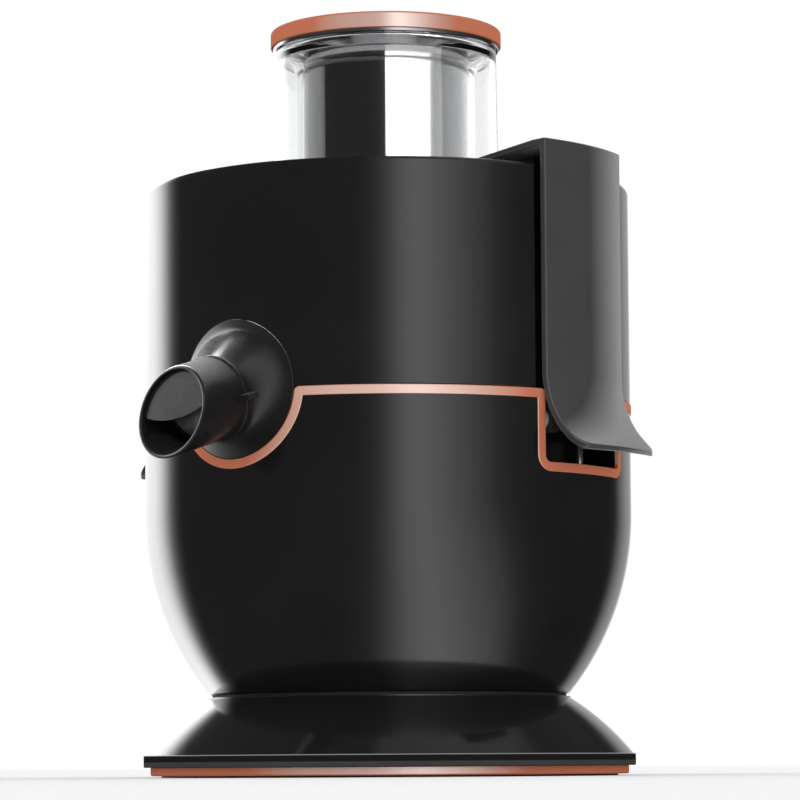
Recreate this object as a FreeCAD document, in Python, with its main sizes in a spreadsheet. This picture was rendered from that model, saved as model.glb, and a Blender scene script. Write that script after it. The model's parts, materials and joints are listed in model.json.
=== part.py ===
import FreeCAD, Part
import Sketcher
import math
import os
import re
from FreeCAD import Rotation, Vector

# Centrifugal juicer, millimetres.  The origin is on the rotation axis at the table,
# +Z is up, the juice spout points along -Y and the two side latches sit at +X and -X.

doc = FreeCAD.newDocument("Juicer")
sheet = doc.addObject("Spreadsheet::Sheet", "Sheet")

SIZES = [
    ("body_radius", 112.5, "outside radius of the housing and of the bowl"),
    ("wall", 2.8, "moulded wall"),
    ("foot_radius", 113.2, "edge of the foot"),
    ("foot_edge_bottom", 4.6, "underside of the foot edge"),
    ("foot_edge_top", 10.2, "top of the foot edge"),
    ("foot_neck_radius", 83.8, "top of the foot flare"),
    ("foot_neck_height", 36.2, "height of the foot"),
    ("foot_flare", 120.0, "radius of the hollow foot flare"),
    ("foot_screw_circle", 90.0, "pitch radius of the base screws"),
    ("neck_screw_circle", 75.0, "pitch radius of the neck screws"),
    ("housing_bottom", 37.4, "underside of the lower housing"),
    ("belly_height", 120.0, "height where the belly turns upright"),
    ("belly_radius", 131.0, "radius of the belly arc"),
    ("vent_radius", 44.0, "air opening in the housing floor"),
    ("ledge_radius", 111.3, "outside of the ledge behind the seam trim"),
    ("ledge_start", 125.0, "height where the ledge steps in"),
    ("seam_height", 170.1, "top of the seam trim"),
    ("trim_band", 4.2, "visible width of the seam trim"),
    ("trim_radius", 112.9, "outside of the seam trim"),
    ("trim_corner", 2.4, "rounded upper corners of the seam trim"),
    ("notch_half", 28.4, "half width of the latch notch"),
    ("notch_bottom", 137.8, "floor of the latch notch"),
    ("notch_corner", 3.0, "inside corner of the latch notch"),
    ("pocket_back", 93.5, "rear wall of the latch pocket"),
    ("deck_height", 128.5, "underside of the motor deck"),
    ("deck_circle", 105.3, "pitch radius of the deck screws"),
    ("bowl_bottom", 170.3, "underside of the bowl"),
    ("rim_height", 270.8, "rim of the bowl"),
    ("rim_round", 3.0, "rounded rim edge"),
    ("recess_flat", 104.0, "flat face of the latch recess"),
    ("recess_half", 32.5, "half width of the latch recess"),
    ("lid_seat", 262.0, "seat of the lid gasket"),
    ("lid_top", 266.5, "upper face of the lid plate"),
    ("spout_height", 170.5, "centre of the spout collar"),
    ("spout_face", 108.0, "distance of the spout collar from the axis"),
    ("spout_disc", 31.0, "radius of the opening for the spout collar"),
    ("spout_tilt", 16.0, "fall of the spout in degrees"),
    ("neck_outer", 16.4, "outside of the fixed spout tube"),
    ("neck_inner", 14.4, "bore of the fixed spout tube"),
    ("sleeve_outer", 18.5, "outside of the turning nozzle"),
    ("sleeve_inner", 16.9, "bore of the turning nozzle"),
    ("sleeve_start", 17.0, "rear edge of the nozzle along the spout"),
    ("mouth_centre", 48.0, "centre of the nozzle mouth along the spout"),
    ("mouth_lean", 13.0, "backward lean of the nozzle mouth in degrees"),
    ("collector_radius", 83.8, "outside of the juice collector"),
    ("collector_top", 234.0, "rim of the juice collector"),
    ("chute_foot", 52.75, "outside of the chute at the lid"),
    ("chute_mouth", 51.7, "outside of the chute at the top"),
    ("chute_top", 337.8, "top of the feed chute"),
    ("channel_radius", 39.5, "bore of the feed channel"),
    ("channel_bottom", 206.0, "lower end of the feed channel"),
    ("pusher_radius", 38.5, "outside of the pusher"),
    ("pusher_bottom", 212.0, "lower end of the pusher"),
    ("cap_radius", 54.0, "outside of the pusher cap"),
    ("cap_bottom", 339.7, "underside of the cap ring"),
    ("cap_top", 347.7, "top of the pusher"),
    ("latch_radius", 115.0, "outer face of the latch"),
    ("latch_skin", 2.8, "thickness of the latch cover"),
    ("latch_half", 30.0, "half width of the latch"),
    ("latch_top", 282.0, "top edge of the latch"),
    ("flare_start", 178.0, "height where the latch flare begins"),
    ("flare_radius", 40.0, "radius of the latch flare"),
    ("flare_sweep", 57.0, "angle swept by the latch flare in degrees"),
    ("pivot_x", 103.5, "distance of the latch pivot from the axis"),
    ("pivot_z", 157.0, "height of the latch pivot"),
    ("pivot_pin", 2.0, "radius of the latch pivot pin"),
    ("pivot_bore", 2.05, "bore of the latch lugs"),
    ("button_x", 107.4, "distance of the interlock pin from the axis"),
    ("button_radius", 1.6, "radius of the interlock pin"),
    ("button_bore", 1.66, "bore of the interlock pin guide"),
    ("shaft_radius", 4.0, "radius of the motor shaft"),
    ("rotor_radius", 24.0, "outside of the rotor"),
    ("stator_radius", 44.0, "outside of the stator"),
    ("basket_foot", 44.0, "radius of the basket at the grater"),
    ("basket_mouth", 75.0, "radius of the basket at its rim"),
    ("basket_bottom", 196.0, "underside of the grater disc"),
    ("basket_top", 236.0, "underside of the basket rim"),
    ("knob_height", 96.0, "height of the control knob"),
    ("knob_radius", 19.0, "outside of the control knob"),
    ("bezel_radius", 23.0, "outside of the knob bezel"),
    ("gland_height", 55.0, "height of the cable gland"),
    ("gland_bore", 3.6, "bore of the cable gland"),
]
for row, (alias, value, note) in enumerate(SIZES, start=1):
    sheet.set(f"A{row}", str(value))
    sheet.setAlias(f"A{row}", alias)
    sheet.set(f"B{row}", note)
doc.recompute()
ALIASES = {alias for alias, value, note in SIZES}
NODES = []


# ---------------------------------------------------------------- helpers

def number(expression):
    return float(sheet.evalExpression(str(expression)))


def linked(expression):
    def swap(match):
        word = match.group(0)
        return "Sheet." + word if word in ALIASES else word
    return re.sub(r"[A-Za-z_][A-Za-z_0-9]*", swap, str(expression))


def node(shape_object, label):
    shape_object.Label = label
    NODES.append(shape_object)
    return shape_object


def origin_plane(body, role):
    return next(f for f in body.Origin.OriginFeatures if f.Role == role)


def add_outline(body, role, points, arcs=None):
    """A closed outline of lines and arcs; arcs maps a segment to its signed radius."""
    arcs = arcs or {}
    sketch = body.newObject("Sketcher::SketchObject", body.Name + "_outline")
    sketch.AttachmentSupport = [(origin_plane(body, role), "")]
    sketch.MapMode = "FlatFace"
    spots = [Vector(number(u), number(v), 0) for u, v in points]
    count = len(spots)
    for i in range(count):
        start = spots[i]
        end = spots[(i + 1) % count]
        if i in arcs:
            radius = number(arcs[i])
            chord = end - start
            side = Vector(-chord.y, chord.x, 0).normalize() * math.copysign(1.0, radius)
            sag = abs(radius) - math.sqrt(radius ** 2 - (chord.Length / 2) ** 2)
            middle = (start + end) * 0.5 + side * sag
            turn = (middle - start).cross(end - middle).z
            first, last = (start, end) if turn > 0 else (end, start)
            sketch.addGeometry(Part.Arc(first, middle, last), False)
        else:
            sketch.addGeometry(Part.LineSegment(start, end), False)
    ends = []
    for i in range(count):
        curve = sketch.Geometry[i]
        first = curve.StartPoint.distanceToPoint(spots[i]) < 1e-6
        ends.append((1, 2) if first else (2, 1))
    for i in range(count):
        j = (i + 1) % count
        sketch.addConstraint(Sketcher.Constraint("Coincident", i, ends[i][1], j, ends[j][0]))
    for i, (u, v) in enumerate(points):
        for kind, expression, value in (("DistanceX", u, spots[i].x), ("DistanceY", v, spots[i].y)):
            index = sketch.addConstraint(Sketcher.Constraint(kind, i, ends[i][0], value))
            if re.search("[a-z]", str(expression)):
                sketch.setExpression(f"Constraints[{index}]", linked(expression))
    for i, radius in arcs.items():
        index = sketch.addConstraint(Sketcher.Constraint("Radius", i, abs(number(radius))))
        if re.search("[a-z]", str(radius)):
            sketch.setExpression(f"Constraints[{index}]", linked(f"abs({radius})"))
    return sketch


def turned(name, points, arcs=None):
    """A ring or disc revolved about the main axis from an (r, z) outline."""
    body = doc.addObject("PartDesign::Body", name)
    sketch = add_outline(body, "XZ_Plane", points, arcs)
    spin = body.newObject("PartDesign::Revolution", name + "_revolve")
    spin.Profile = sketch
    spin.ReferenceAxis = (sketch, ["V_Axis"])
    spin.Angle = 360
    return body


def ring(name, r_in, r_out, z_low, z_high):
    return turned(name, [(r_in, z_low), (r_out, z_low), (r_out, z_high), (r_in, z_high)])


def slab(name, points, width, arcs=None):
    """A plate with an (x, z) outline, centred on the XZ plane."""
    body = doc.addObject("PartDesign::Body", name)
    sketch = add_outline(body, "XZ_Plane", points, arcs)
    pad = body.newObject("PartDesign::Pad", name + "_pad")
    pad.Profile = sketch
    pad.Midplane = True
    pad.Length = number(width)
    pad.setExpression("Length", linked(width))
    return body


def primitive(kind, name, sizes, at=(0, 0, 0), turn=None):
    part = doc.addObject(kind, name)
    for key, expression in sizes.items():
        setattr(part, key, number(expression))
        part.setExpression(key, linked(expression))
    if turn:
        part.Placement.Rotation = Rotation(Vector(*turn[0]), number(turn[1]))
        part.setExpression("Placement.Rotation.Angle", linked(turn[1]))
    for axis, expression in zip("xyz", at):
        part.setExpression(f"Placement.Base.{axis}", linked(expression))
    return part


def rod(name, radius, x, y, z_low, z_high):
    sizes = {"Radius": radius, "Height": f"({z_high}) - ({z_low})"}
    return primitive("Part::Cylinder", name, sizes, (x, y, z_low))


def rod_x(name, radius, x_low, x_high, y, z):
    sizes = {"Radius": radius, "Height": f"({x_high}) - ({x_low})"}
    return primitive("Part::Cylinder", name, sizes, (x_low, y, z), ((0, 1, 0), 90))


def rod_y(name, radius, y_low, y_high, x, z):
    sizes = {"Radius": radius, "Height": f"({y_high}) - ({y_low})"}
    return primitive("Part::Cylinder", name, sizes, (x, y_high, z), ((1, 0, 0), 90))


def block(name, x, y, z):
    sizes = {"Length": f"({x[1]}) - ({x[0]})", "Width": f"({y[1]}) - ({y[0]})",
             "Height": f"({z[1]}) - ({z[0]})"}
    return primitive("Part::Box", name, sizes, (x[0], y[0], z[0]))


def radial_block(name, r_low, r_high, width, z_low, z_high, angle):
    """A box standing on a spoke of the main axis."""
    sizes = {"Length": f"({r_high}) - ({r_low})", "Width": width,
             "Height": f"({z_high}) - ({z_low})"}
    at = (f"({r_low}) * cos({angle} deg) + ({width}) / 2 * sin({angle} deg)",
          f"({r_low}) * sin({angle} deg) - ({width}) / 2 * cos({angle} deg)", z_low)
    return primitive("Part::Box", name, sizes, at, ((0, 0, 1), angle))


def on_circle(name, radius, circle, angle, z_low, z_high):
    return rod(name, radius, f"{circle} * cos({angle} deg)", f"{circle} * sin({angle} deg)",
               z_low, z_high)


def spout_rod(name, radius, s_low, s_high):
    """A cylinder along the falling spout axis, measured outward from the collar."""
    sizes = {"Radius": radius, "Height": f"({s_high}) - ({s_low})"}
    at = (0, f"-spout_face - ({s_low}) * cos(spout_tilt * 1 deg)",
          f"spout_height - ({s_low}) * sin(spout_tilt * 1 deg)")
    return primitive("Part::Cylinder", name, sizes, at, ((1, 0, 0), "90 + spout_tilt"))


def fuse(name, parts):
    result = doc.addObject("Part::MultiFuse", name)
    result.Shapes = parts
    return result


def common(name, parts):
    result = doc.addObject("Part::MultiCommon", name)
    result.Shapes = parts
    return result


def cut(name, base, tools):
    result = doc.addObject("Part::Cut", name)
    result.Base = base
    result.Tool = tools[0] if len(tools) == 1 else fuse(name + "_tools", tools)
    return result


def group(name, parts):
    result = doc.addObject("Part::Compound", name)
    result.Links = parts
    return result


def half_turn(name, source):
    """The same piece on the opposite side of the main axis."""
    twin = doc.addObject("Part::Compound", name)
    twin.Links = [source]
    twin.Placement.Rotation = Rotation(Vector(0, 0, 1), 180)
    return twin


QUARTERS = (45, 135, 225, 315)
CROSS = (0, 90, 180, 270)


# ---------------------------------------------------------------- foot

node(ring("FootPad", 97, 105, 0, 3), "foot_pad_ring")

plate = ring("BasePlate", 14, 105.6, 3, 5)
vents = [radial_block(f"BaseVent{i}", 40, 64, 4, 2, 6, 22.5 * i) for i in range(16)]
holes = [on_circle(f"BaseHole{a}", 2.1, "foot_screw_circle", a, 2, 6) for a in QUARTERS]
hub = ring("BaseHub", 0, 14, 3, 5)
plate = fuse("BasePlateDisc", [plate, hub])
node(cut("BasePlateCut", plate, vents + holes), "base_plate")

screws = []
for a in QUARTERS:
    screws.append(on_circle(f"BaseScrewHead{a}", 3.8, "foot_screw_circle", a, 1.2, 3))
    screws.append(on_circle(f"BaseScrewStem{a}", 1.9, "foot_screw_circle", a, 3, 13))
pairs = [fuse(f"BaseScrew{i}", screws[2 * i:2 * i + 2]) for i in range(4)]
node(group("BaseScrews", pairs), "base_screws")

node(turned("FootTrim", [(105.8, 0.8), (109.4, 0.8), (110, 1.4),
                         (110, "foot_edge_bottom"), (105.8, "foot_edge_bottom")]),
     "foot_trim_ring")

skirt = turned("FootShell", [
    (106, "foot_edge_bottom"), ("foot_radius - 0.6", "foot_edge_bottom"),
    ("foot_radius", "foot_edge_bottom + 0.6"), ("foot_radius", "foot_edge_top - 1"),
    ("foot_radius - 1", "foot_edge_top"), ("foot_neck_radius", "foot_neck_height - 0.6"),
    ("foot_neck_radius", "foot_neck_height"), (69, "foot_neck_height"),
    (69, "foot_neck_height - 2.4"), (81, "foot_neck_height - 2.4"),
    (103, 13.9), (103, 5), (106, 5)],
    {4: "foot_flare", 9: "-foot_flare"})
bosses = [on_circle(f"FootBoss{a}", 4.6, "foot_screw_circle", a, 5, 22) for a in QUARTERS]
bores = [on_circle(f"FootBore{a}", 1.9, "foot_screw_circle", a, 4, 14) for a in QUARTERS]
bores += [on_circle(f"FootNeckHole{a}", 1.8, "neck_screw_circle", a, 30, 38) for a in CROSS]
node(cut("FootSkirt", fuse("FootShellBosses", [skirt] + bosses), bores), "foot_skirt")

gasket = ring("NeckRing", 71, 81.6, "foot_neck_height", "housing_bottom")
holes = [on_circle(f"NeckHole{a}", 1.8, "neck_screw_circle", a, 30, 38) for a in CROSS]
node(cut("NeckGasket", gasket, holes), "neck_gasket")

screws = []
for a in CROSS:
    head = on_circle(f"NeckHead{a}", 3.2, "neck_screw_circle", a, 31.6, 33.8)
    stem = on_circle(f"NeckStem{a}", 1.6, "neck_screw_circle", a, 33.8, 46)
    screws.append(fuse(f"NeckScrew{a}", [head, stem]))
node(group("NeckScrews", screws), "neck_screws")


# ---------------------------------------------------------------- seam line

def seam_tool(name, drop, corner=None):
    """Everything above the seam line lowered by drop, with spout and latch dips."""
    parts = [block(name + "Above", (-140, 140), (-140, 140), (f"seam_height - {drop}", 300))]
    parts.append(rod_y(name + "Spout", f"spout_disc + {drop}", -140, -60, 0, "spout_height"))
    half = f"notch_half + {drop}"
    low = f"notch_bottom - {drop}"
    bend = f"notch_corner + {drop}"
    parts.append(block(name + "Tall", (-140, 140), (f"-({half})", half),
                       (f"{low} + {bend}", 300)))
    parts.append(block(name + "Deep", (-140, 140),
                       (f"-({half}) + {bend}", f"{half} - ({bend})"), (low, 300)))
    for tag, sign in (("A", "-1"), ("B", "1")):
        parts.append(rod_x(name + "Bend" + tag, bend, -140, 140,
                           f"{sign} * ({half} - ({bend}))", f"{low} + {bend}"))
    merged = fuse(name, parts)
    if corner is None:
        return merged
    doc.recompute()
    level = number(f"seam_height - {drop}")
    edges = []
    for index, edge in enumerate(merged.Shape.Edges, start=1):
        ends = [v.Point for v in edge.Vertexes]
        flat = len(ends) == 2 and all(abs(p.z - level) < 1e-4 for p in ends)
        if not flat:
            continue
        middle = (ends[0] + ends[1]) * 0.5
        on_notch = abs(abs(middle.y) - number(half)) < 1e-3
        on_spout = abs(middle.x) < number("spout_disc") + 1 and middle.y < -60
        along_y = abs(ends[0].x - ends[1].x) < 1e-6
        if on_notch or (on_spout and along_y and abs(middle.x) > 5):
            edges.append((index, number(corner), number(corner)))
    rounded = doc.addObject("Part::Fillet", name + "Rounded")
    rounded.Base = merged
    rounded.Edges = edges
    return rounded


above_trim = seam_tool("AboveTrim", "0", "trim_corner")
below_trim = seam_tool("BelowTrim", "trim_band")


# ---------------------------------------------------------------- lower housing

arc_foot = "body_radius - belly_radius + sqrt(belly_radius^2 - (belly_height - housing_bottom)^2)"
arc_inside = ("body_radius - belly_radius + sqrt((belly_radius - wall)^2"
              " - (belly_height - housing_bottom - wall)^2)")
shell = turned("HousingShell", [
    (arc_foot, "housing_bottom"), ("body_radius", "belly_height"),
    ("body_radius", "ledge_start"), ("ledge_radius", "ledge_start"), ("ledge_radius", 176),
    ("body_radius - wall", 176), ("body_radius - wall", "belly_height"),
    (arc_inside, "housing_bottom + wall"), ("vent_radius", "housing_bottom + wall"),
    ("vent_radius", "housing_bottom")],
    {0: "-belly_radius", 6: "belly_radius - wall"})
skin = ring("HousingSkin", "ledge_radius", "body_radius", "ledge_start", 176)
shell = cut("HousingShellCut", shell, [above_trim])
skin = cut("HousingSkinCut", skin, [below_trim])

pocket_parts = []
for tag, x in (("Right", ("pocket_back - wall", 115)), ("Left", (-115, "wall - pocket_back"))):
    solid = block(f"Pocket{tag}", x, ("-(notch_half + wall)", "notch_half + wall"),
                  ("notch_bottom - wall", "seam_height"))
    pocket_parts.append(solid)
column = rod("PocketLimit", "ledge_radius", 0, 0, 120, 200)
pockets = common("PocketBlocks", [fuse("PocketPair", pocket_parts), column])
hollow_parts = []
for tag, x in (("Right", ("pocket_back", 140)), ("Left", (-140, "-pocket_back"))):
    hollow_parts.append(block(f"Hollow{tag}", x, (-60, 60), (120, 180)))
hollow = common("PocketHollow", [fuse("HollowPair", hollow_parts), above_trim])
pockets = cut("Pockets", pockets, [hollow])
inner_wall = rod("PocketInnerWall", "body_radius - wall", 0, 0, 120, 200)

bosses = [on_circle(f"NeckBoss{a}", 4, "neck_screw_circle", a, "housing_bottom + 1", 50)
          for a in CROSS]
bosses += [on_circle(f"DeckBoss{a}", 5, "deck_circle", a, 112, "deck_height") for a in QUARTERS]
bores = [on_circle(f"NeckBore{a}", 1.6, "neck_screw_circle", a, 36, 46) for a in CROSS]
bores += [on_circle(f"DeckBore{a}", 1.6, "deck_circle", a, 118, 130) for a in QUARTERS]
bores.append(rod_x("KnobOpening", "bezel_radius", -130, -98, 0, "knob_height"))
bores.append(rod_y("GlandOpening", 9, 80, 120, 0, "gland_height"))
pocket_bores = []
for tag, x in (("Right", 1), ("Left", -1)):
    bores.append(rod(f"ButtonGuide{tag}", "button_bore", f"{x} * button_x", 0, 130, 145))
    pocket_bores.append(rod_y(f"PivotSeat{tag}", "pivot_pin", -40, 40, f"{x} * pivot_x", "pivot_z"))
    pocket_bores.append(rod(f"ButtonHole{tag}", "button_bore", f"{x} * button_x", 0, 130, 145))
housing = cut("HousingBody", fuse("HousingSolid", [shell, skin] + bosses), bores)
rims = cut("PocketRims", pockets, [inner_wall])
node(fuse("LowerHousing", [housing, cut("PocketRimsBored", rims, pocket_bores)]), "lower_housing")
liners = cut("LatchPockets", common("PocketLiners", [pockets, inner_wall]), pocket_bores)
node(liners, "latch_pockets")

band = ring("TrimRing", "ledge_radius", "trim_radius", 128, 176)
band = common("TrimBand", [band, below_trim])
node(cut("SeamTrim", band, [above_trim]), "seam_trim")

gland = rod_y("GlandBody", 9, 84, 102, 0, "gland_height")
gland = cut("CableGland", gland, [rod_y("GlandHole", "gland_bore", 80, 110, 0, "gland_height")])
node(gland, "cable_gland")

bezel = fuse("BezelSolid", [
    rod_x("BezelDisc", "bezel_radius", -114, -102, 0, "knob_height"),
    rod_x("BezelBoss", 8, -102, -95, 0, "knob_height")])
bezel = cut("KnobBezel", bezel, [
    rod_x("BezelDish", "knob_radius + 0.6", -116, -106, 0, "knob_height"),
    rod_x("BezelBore", 4.2, -116, -90, 0, "knob_height")])
node(bezel, "knob_bezel")

switch = fuse("RotarySolid", [
    block("RotaryCase", (-95, -74), (-15, 15), ("knob_height - 15", "knob_height + 15")),
    block("RotaryTagA", (-74, -66), (-10, -7), ("knob_height - 1", "knob_height + 1")),
    block("RotaryTagB", (-74, -66), (7, 10), ("knob_height - 1", "knob_height + 1"))])
node(switch, "rotary_switch")


# ---------------------------------------------------------------- motor and deck

deck = turned("DeckDisc", [
    (18, "deck_height"), (98, "deck_height"), (98, "deck_height + 3"), (46, "deck_height + 3"),
    (20, 152), (11, 152), (11, 149), (17.5, 149)])
ears = [on_circle(f"DeckEar{a}", 4, "deck_circle", a, "deck_height", "deck_height + 3")
        for a in QUARTERS]
ears += [radial_block(f"DeckArm{a}", 92, 103, 8, "deck_height", "deck_height + 3", a)
         for a in QUARTERS]
holes = [on_circle(f"DeckHole{a}", 1.8, "deck_circle", a, 120, 140) for a in QUARTERS]
holes += [on_circle(f"TieHole{a}", 2.5, 47, a, 120, 150) for a in QUARTERS]
node(cut("MotorDeck", fuse("DeckSolid", [deck] + ears), holes), "motor_deck")

screws = []
for a in QUARTERS:
    head = on_circle(f"DeckScrewHead{a}", 3.2, "deck_circle", a, "deck_height + 3", 133.7)
    stem = on_circle(f"DeckScrewStem{a}", 1.6, "deck_circle", a, 120, "deck_height + 3")
    screws.append(fuse(f"DeckScrew{a}", [head, stem]))
node(group("DeckScrews", screws), "deck_screws")

rods = []
for a in QUARTERS:
    stem = on_circle(f"TieStem{a}", 2.5, 47, a, 46, "deck_height + 3")
    nut = on_circle(f"TieNut{a}", 4.5, 47, a, 43, 46)
    rods.append(fuse(f"TieRod{a}", [stem, nut]))
node(group("TieRods", rods), "motor_tie_rods")

arms = [radial_block(f"BracketArm{a}", 6, 52, 12, 46, 49, a) for a in QUARTERS]
holes = [on_circle(f"BracketHole{a}", 2.5, 47, a, 40, 60) for a in QUARTERS]
holes.append(rod("BracketSeat", 9, 0, 0, 40, 60))
bracket = fuse("BracketSolid", [ring("BracketHub", 5, 13, 46, 52)] + arms)
node(cut("LowerBracket", bracket, holes), "lower_bearing_bracket")
node(ring("LowerBearing", "shaft_radius + 0.3", 9, 46, 52), "lower_bearing")
node(ring("ShaftSealRing", "shaft_radius + 0.3", 11, 149.2, 151.8), "shaft_seal")

bearing_cup = ring("BearingCupRing", 11, 14, 124, 131)
cup_arms = [radial_block(f"CupArm{a}", 13, 26, 6, "deck_height - 2.5", "deck_height", a)
            for a in CROSS]
node(fuse("BearingCup", [bearing_cup] + cup_arms), "upper_bearing_cup")
node(ring("TopBearing", "shaft_radius + 0.3", 11, 124, 131), "upper_bearing")

stator = ring("StatorRing", "rotor_radius + 1", "stator_radius", 68, 108)
flats = [radial_block(f"StatorSlot{i}", 23, 31, 5, 60, 112, 30 + 60 * i) for i in range(6)]
node(cut("StatorStack", stator, flats), "stator_stack")
coils = []
for tag, low, high in (("Top", 108, 112), ("Low", 64, 68)):
    coils.append(ring(f"Coil{tag}", 29, 41, low, high))
node(group("FieldWindings", coils), "field_windings")

holders = []
for tag, x in (("Right", (11, 28)), ("Left", (-28, -11))):
    holders.append(block(f"Brush{tag}", x, (-4, 4), (114, 121)))
posts = []
for tag, x in (("Right", (24, 28)), ("Left", (-28, -24))):
    posts.append(block(f"BrushPost{tag}", x, (-4, 4), (108, 114)))
node(group("BrushHolders", [fuse("BrushRightPair", [holders[0], posts[0]]),
                            fuse("BrushLeftPair", [holders[1], posts[1]])]), "brush_holders")

board = block("BoardPlate", (-35, 35), (66, 68), (72, 118))
parts = [block("BoardRelay", (-28, -10), (54, 66), (80, 96)),
         rod("BoardCapacitor", 7, 8, 58.5, 84, 108),
         block("BoardFeetA", (-35, -31), (68, 88), (80, 84)),
         block("BoardFeetB", (31, 35), (68, 88), (80, 84)),
         block("BoardCanShelf", (2, 14), (60, 66), (82, 84))]
node(fuse("ControlBoard", [board] + parts), "control_board")

switches = []
for tag, x in (("Right", (101, 109)), ("Left", (-109, -101))):
    switches.append(block(f"Interlock{tag}", x, (-5, 5), (119.8, 127.4)))
node(group("InterlockSwitches", switches), "interlock_switches")


# ---------------------------------------------------------------- spinning group

node(ring("MotorShaft", 0, "shaft_radius", 42, 190), "motor_shaft")
rotor = ring("RotorRing", "shaft_radius", "rotor_radius", 68, 108)
slots = [radial_block(f"RotorSlot{i}", 19, 26, 2, 60, 112, 30 * i) for i in range(12)]
node(cut("RotorStack", rotor, slots), "rotor_stack")
node(ring("Commutator", "shaft_radius", 10.4, 111, 122), "commutator")
fan = ring("FanHub", "shaft_radius", 12, 54, 62)
blades = [radial_block(f"FanBlade{i}", 11, 38, 1.6, 54.5, 61, 40 * i) for i in range(9)]
disc = ring("FanDisc", 11, 38, 61, 62)
node(fuse("CoolingFan", [fan, disc] + blades), "cooling_fan")

coupling = ring("CouplingCore", "shaft_radius", 11, 154, 188)
dogs = [radial_block(f"CouplingDog{i}", 10, 14, 5, 166, 188, 60 * i) for i in range(6)]
node(fuse("DriveCoupling", [coupling] + dogs), "drive_coupling")

hub = turned("HubRing", [
    (15, 168), (20, 168), (20, 190), (34.4, 190), (34.4, 184), (37, 184), (37, 194),
    (24, "basket_bottom"), (0, "basket_bottom"), (0, 190.2), (15, 190.2)])
node(hub, "basket_hub")

grater = ring("GraterDisc", 0, "basket_foot", "basket_bottom", "basket_bottom + 2")
teeth = []
for lane, count in ((14, 8), (24, 14), (34, 20)):
    for i in range(count):
        teeth.append(radial_block(f"Tooth{lane}_{i}", lane, lane + 3, 1.2, "basket_bottom + 1",
                                  "basket_bottom + 3.6", round(360 * i / count + lane, 3)))
node(fuse("Grater", [grater] + teeth), "grater_disc")

cone = turned("BasketCone", [
    ("basket_foot", "basket_bottom"), ("basket_foot + 1.2", "basket_bottom"),
    ("basket_mouth + 1", "basket_top"), ("basket_mouth", "basket_top"),
    ("basket_foot", "basket_bottom + 2")])
slots = []
for level, reach in ((203, 49), (212, 56), (221, 63)):
    for i in range(24):
        slots.append(radial_block(f"Mesh{level}_{i}", reach - 8, reach + 16, 1.4, level,
                                  level + 5, 15 * i + (level % 2) * 7.5))
node(cut("FilterBasket", cone, slots), "filter_basket")
node(turned("BasketRim", [
    ("basket_mouth", "basket_top"), (86, "basket_top"), (86, "basket_top + 2.4"),
    (79, "basket_top + 4"), ("basket_mouth", "basket_top + 4")]), "basket_rim")


# ---------------------------------------------------------------- bowl

rim_in = 107.6
bowl_shell = turned("BowlShell", [
    (26, "bowl_bottom"), ("body_radius - 0.5", "bowl_bottom"), ("body_radius", "bowl_bottom + 0.5"),
    ("body_radius", "rim_height - rim_round"), ("body_radius - rim_round", "rim_height"),
    (rim_in, "rim_height"), (rim_in, "lid_seat"), (104.5, "lid_seat"), (104.5, "lid_seat - 2"),
    ("body_radius - wall", "lid_seat - 7"), ("body_radius - wall", "bowl_bottom + wall"),
    (28.8, "bowl_bottom + wall"), (28.8, 186), (26, 186)],
    {3: "-rim_round"})
envelope = turned("BowlEnvelope", [
    (60, "bowl_bottom"), ("body_radius - 0.5", "bowl_bottom"), ("body_radius", "bowl_bottom + 0.5"),
    ("body_radius", "rim_height - rim_round"), ("body_radius - rim_round", "rim_height"),
    (60, "rim_height")], {3: "-rim_round"})
walls = []
cuts = []
for tag, x, deep in (("Right", ("recess_flat - wall", 120), ("recess_flat", 130)),
                     ("Left", (-120, "wall - recess_flat"), (-130, "-recess_flat"))):
    walls.append(block(f"RecessWall{tag}", x, ("-(recess_half + wall)", "recess_half + wall"),
                       (160, 280)))
    cuts.append(block(f"RecessCut{tag}", deep, ("-recess_half", "recess_half"), (160, 280)))
walls = common("RecessWalls", [fuse("RecessWallPair", walls), envelope])
duct = cut("DuctTrim", spout_rod("DuctOuter", 16, -33, 8),
           [block("DuctEnd", (-40, 40), (-140, -104.4), (100, 260)),
            block("DuctTop", (-40, 40), (-80.4, -50), ("bowl_bottom + 5.4", 260))])
cuts.append(spout_rod("DuctBore", 13.5, -30.5, 8))
cuts.append(rod_y("CollarSeat", "spout_disc", -140, -104.4, 0, "spout_height"))
node(cut("UpperBowl", fuse("BowlSolid", [bowl_shell, walls, duct]), cuts), "upper_bowl")

floor = turned("CollectorDish", [
    (30, "bowl_bottom + wall + 0.2"), ("collector_radius", "bowl_bottom + wall + 0.2"),
    ("collector_radius", "bowl_bottom + 5.4"), (32.4, "bowl_bottom + 5.4"), (32.4, 189.4), (30, 189.4)])
node(cut("CollectorFloor", floor, [spout_rod("FloorCut", 16.1, -33.2, 8)]), "collector_floor")
cup = ring("CollectorCup", "collector_radius - 2.4", "collector_radius", "bowl_bottom + 5.4",
           "collector_top")
node(cut("CollectorWall", cup, [spout_rod("WallCut", 16.1, -33.2, 8)]), "collector_wall")


def level_circle(name, radius, along, tilt):
    """A circle across the spout at a distance along it, leaning by its own tilt."""
    at = (0, f"-spout_face - ({along}) * cos({tilt} * 1 deg)",
          f"spout_height - ({along}) * sin({tilt} * 1 deg)")
    return primitive("Part::Circle", name, {"Radius": radius}, at, ((1, 0, 0), f"90 + {tilt}"))


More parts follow.
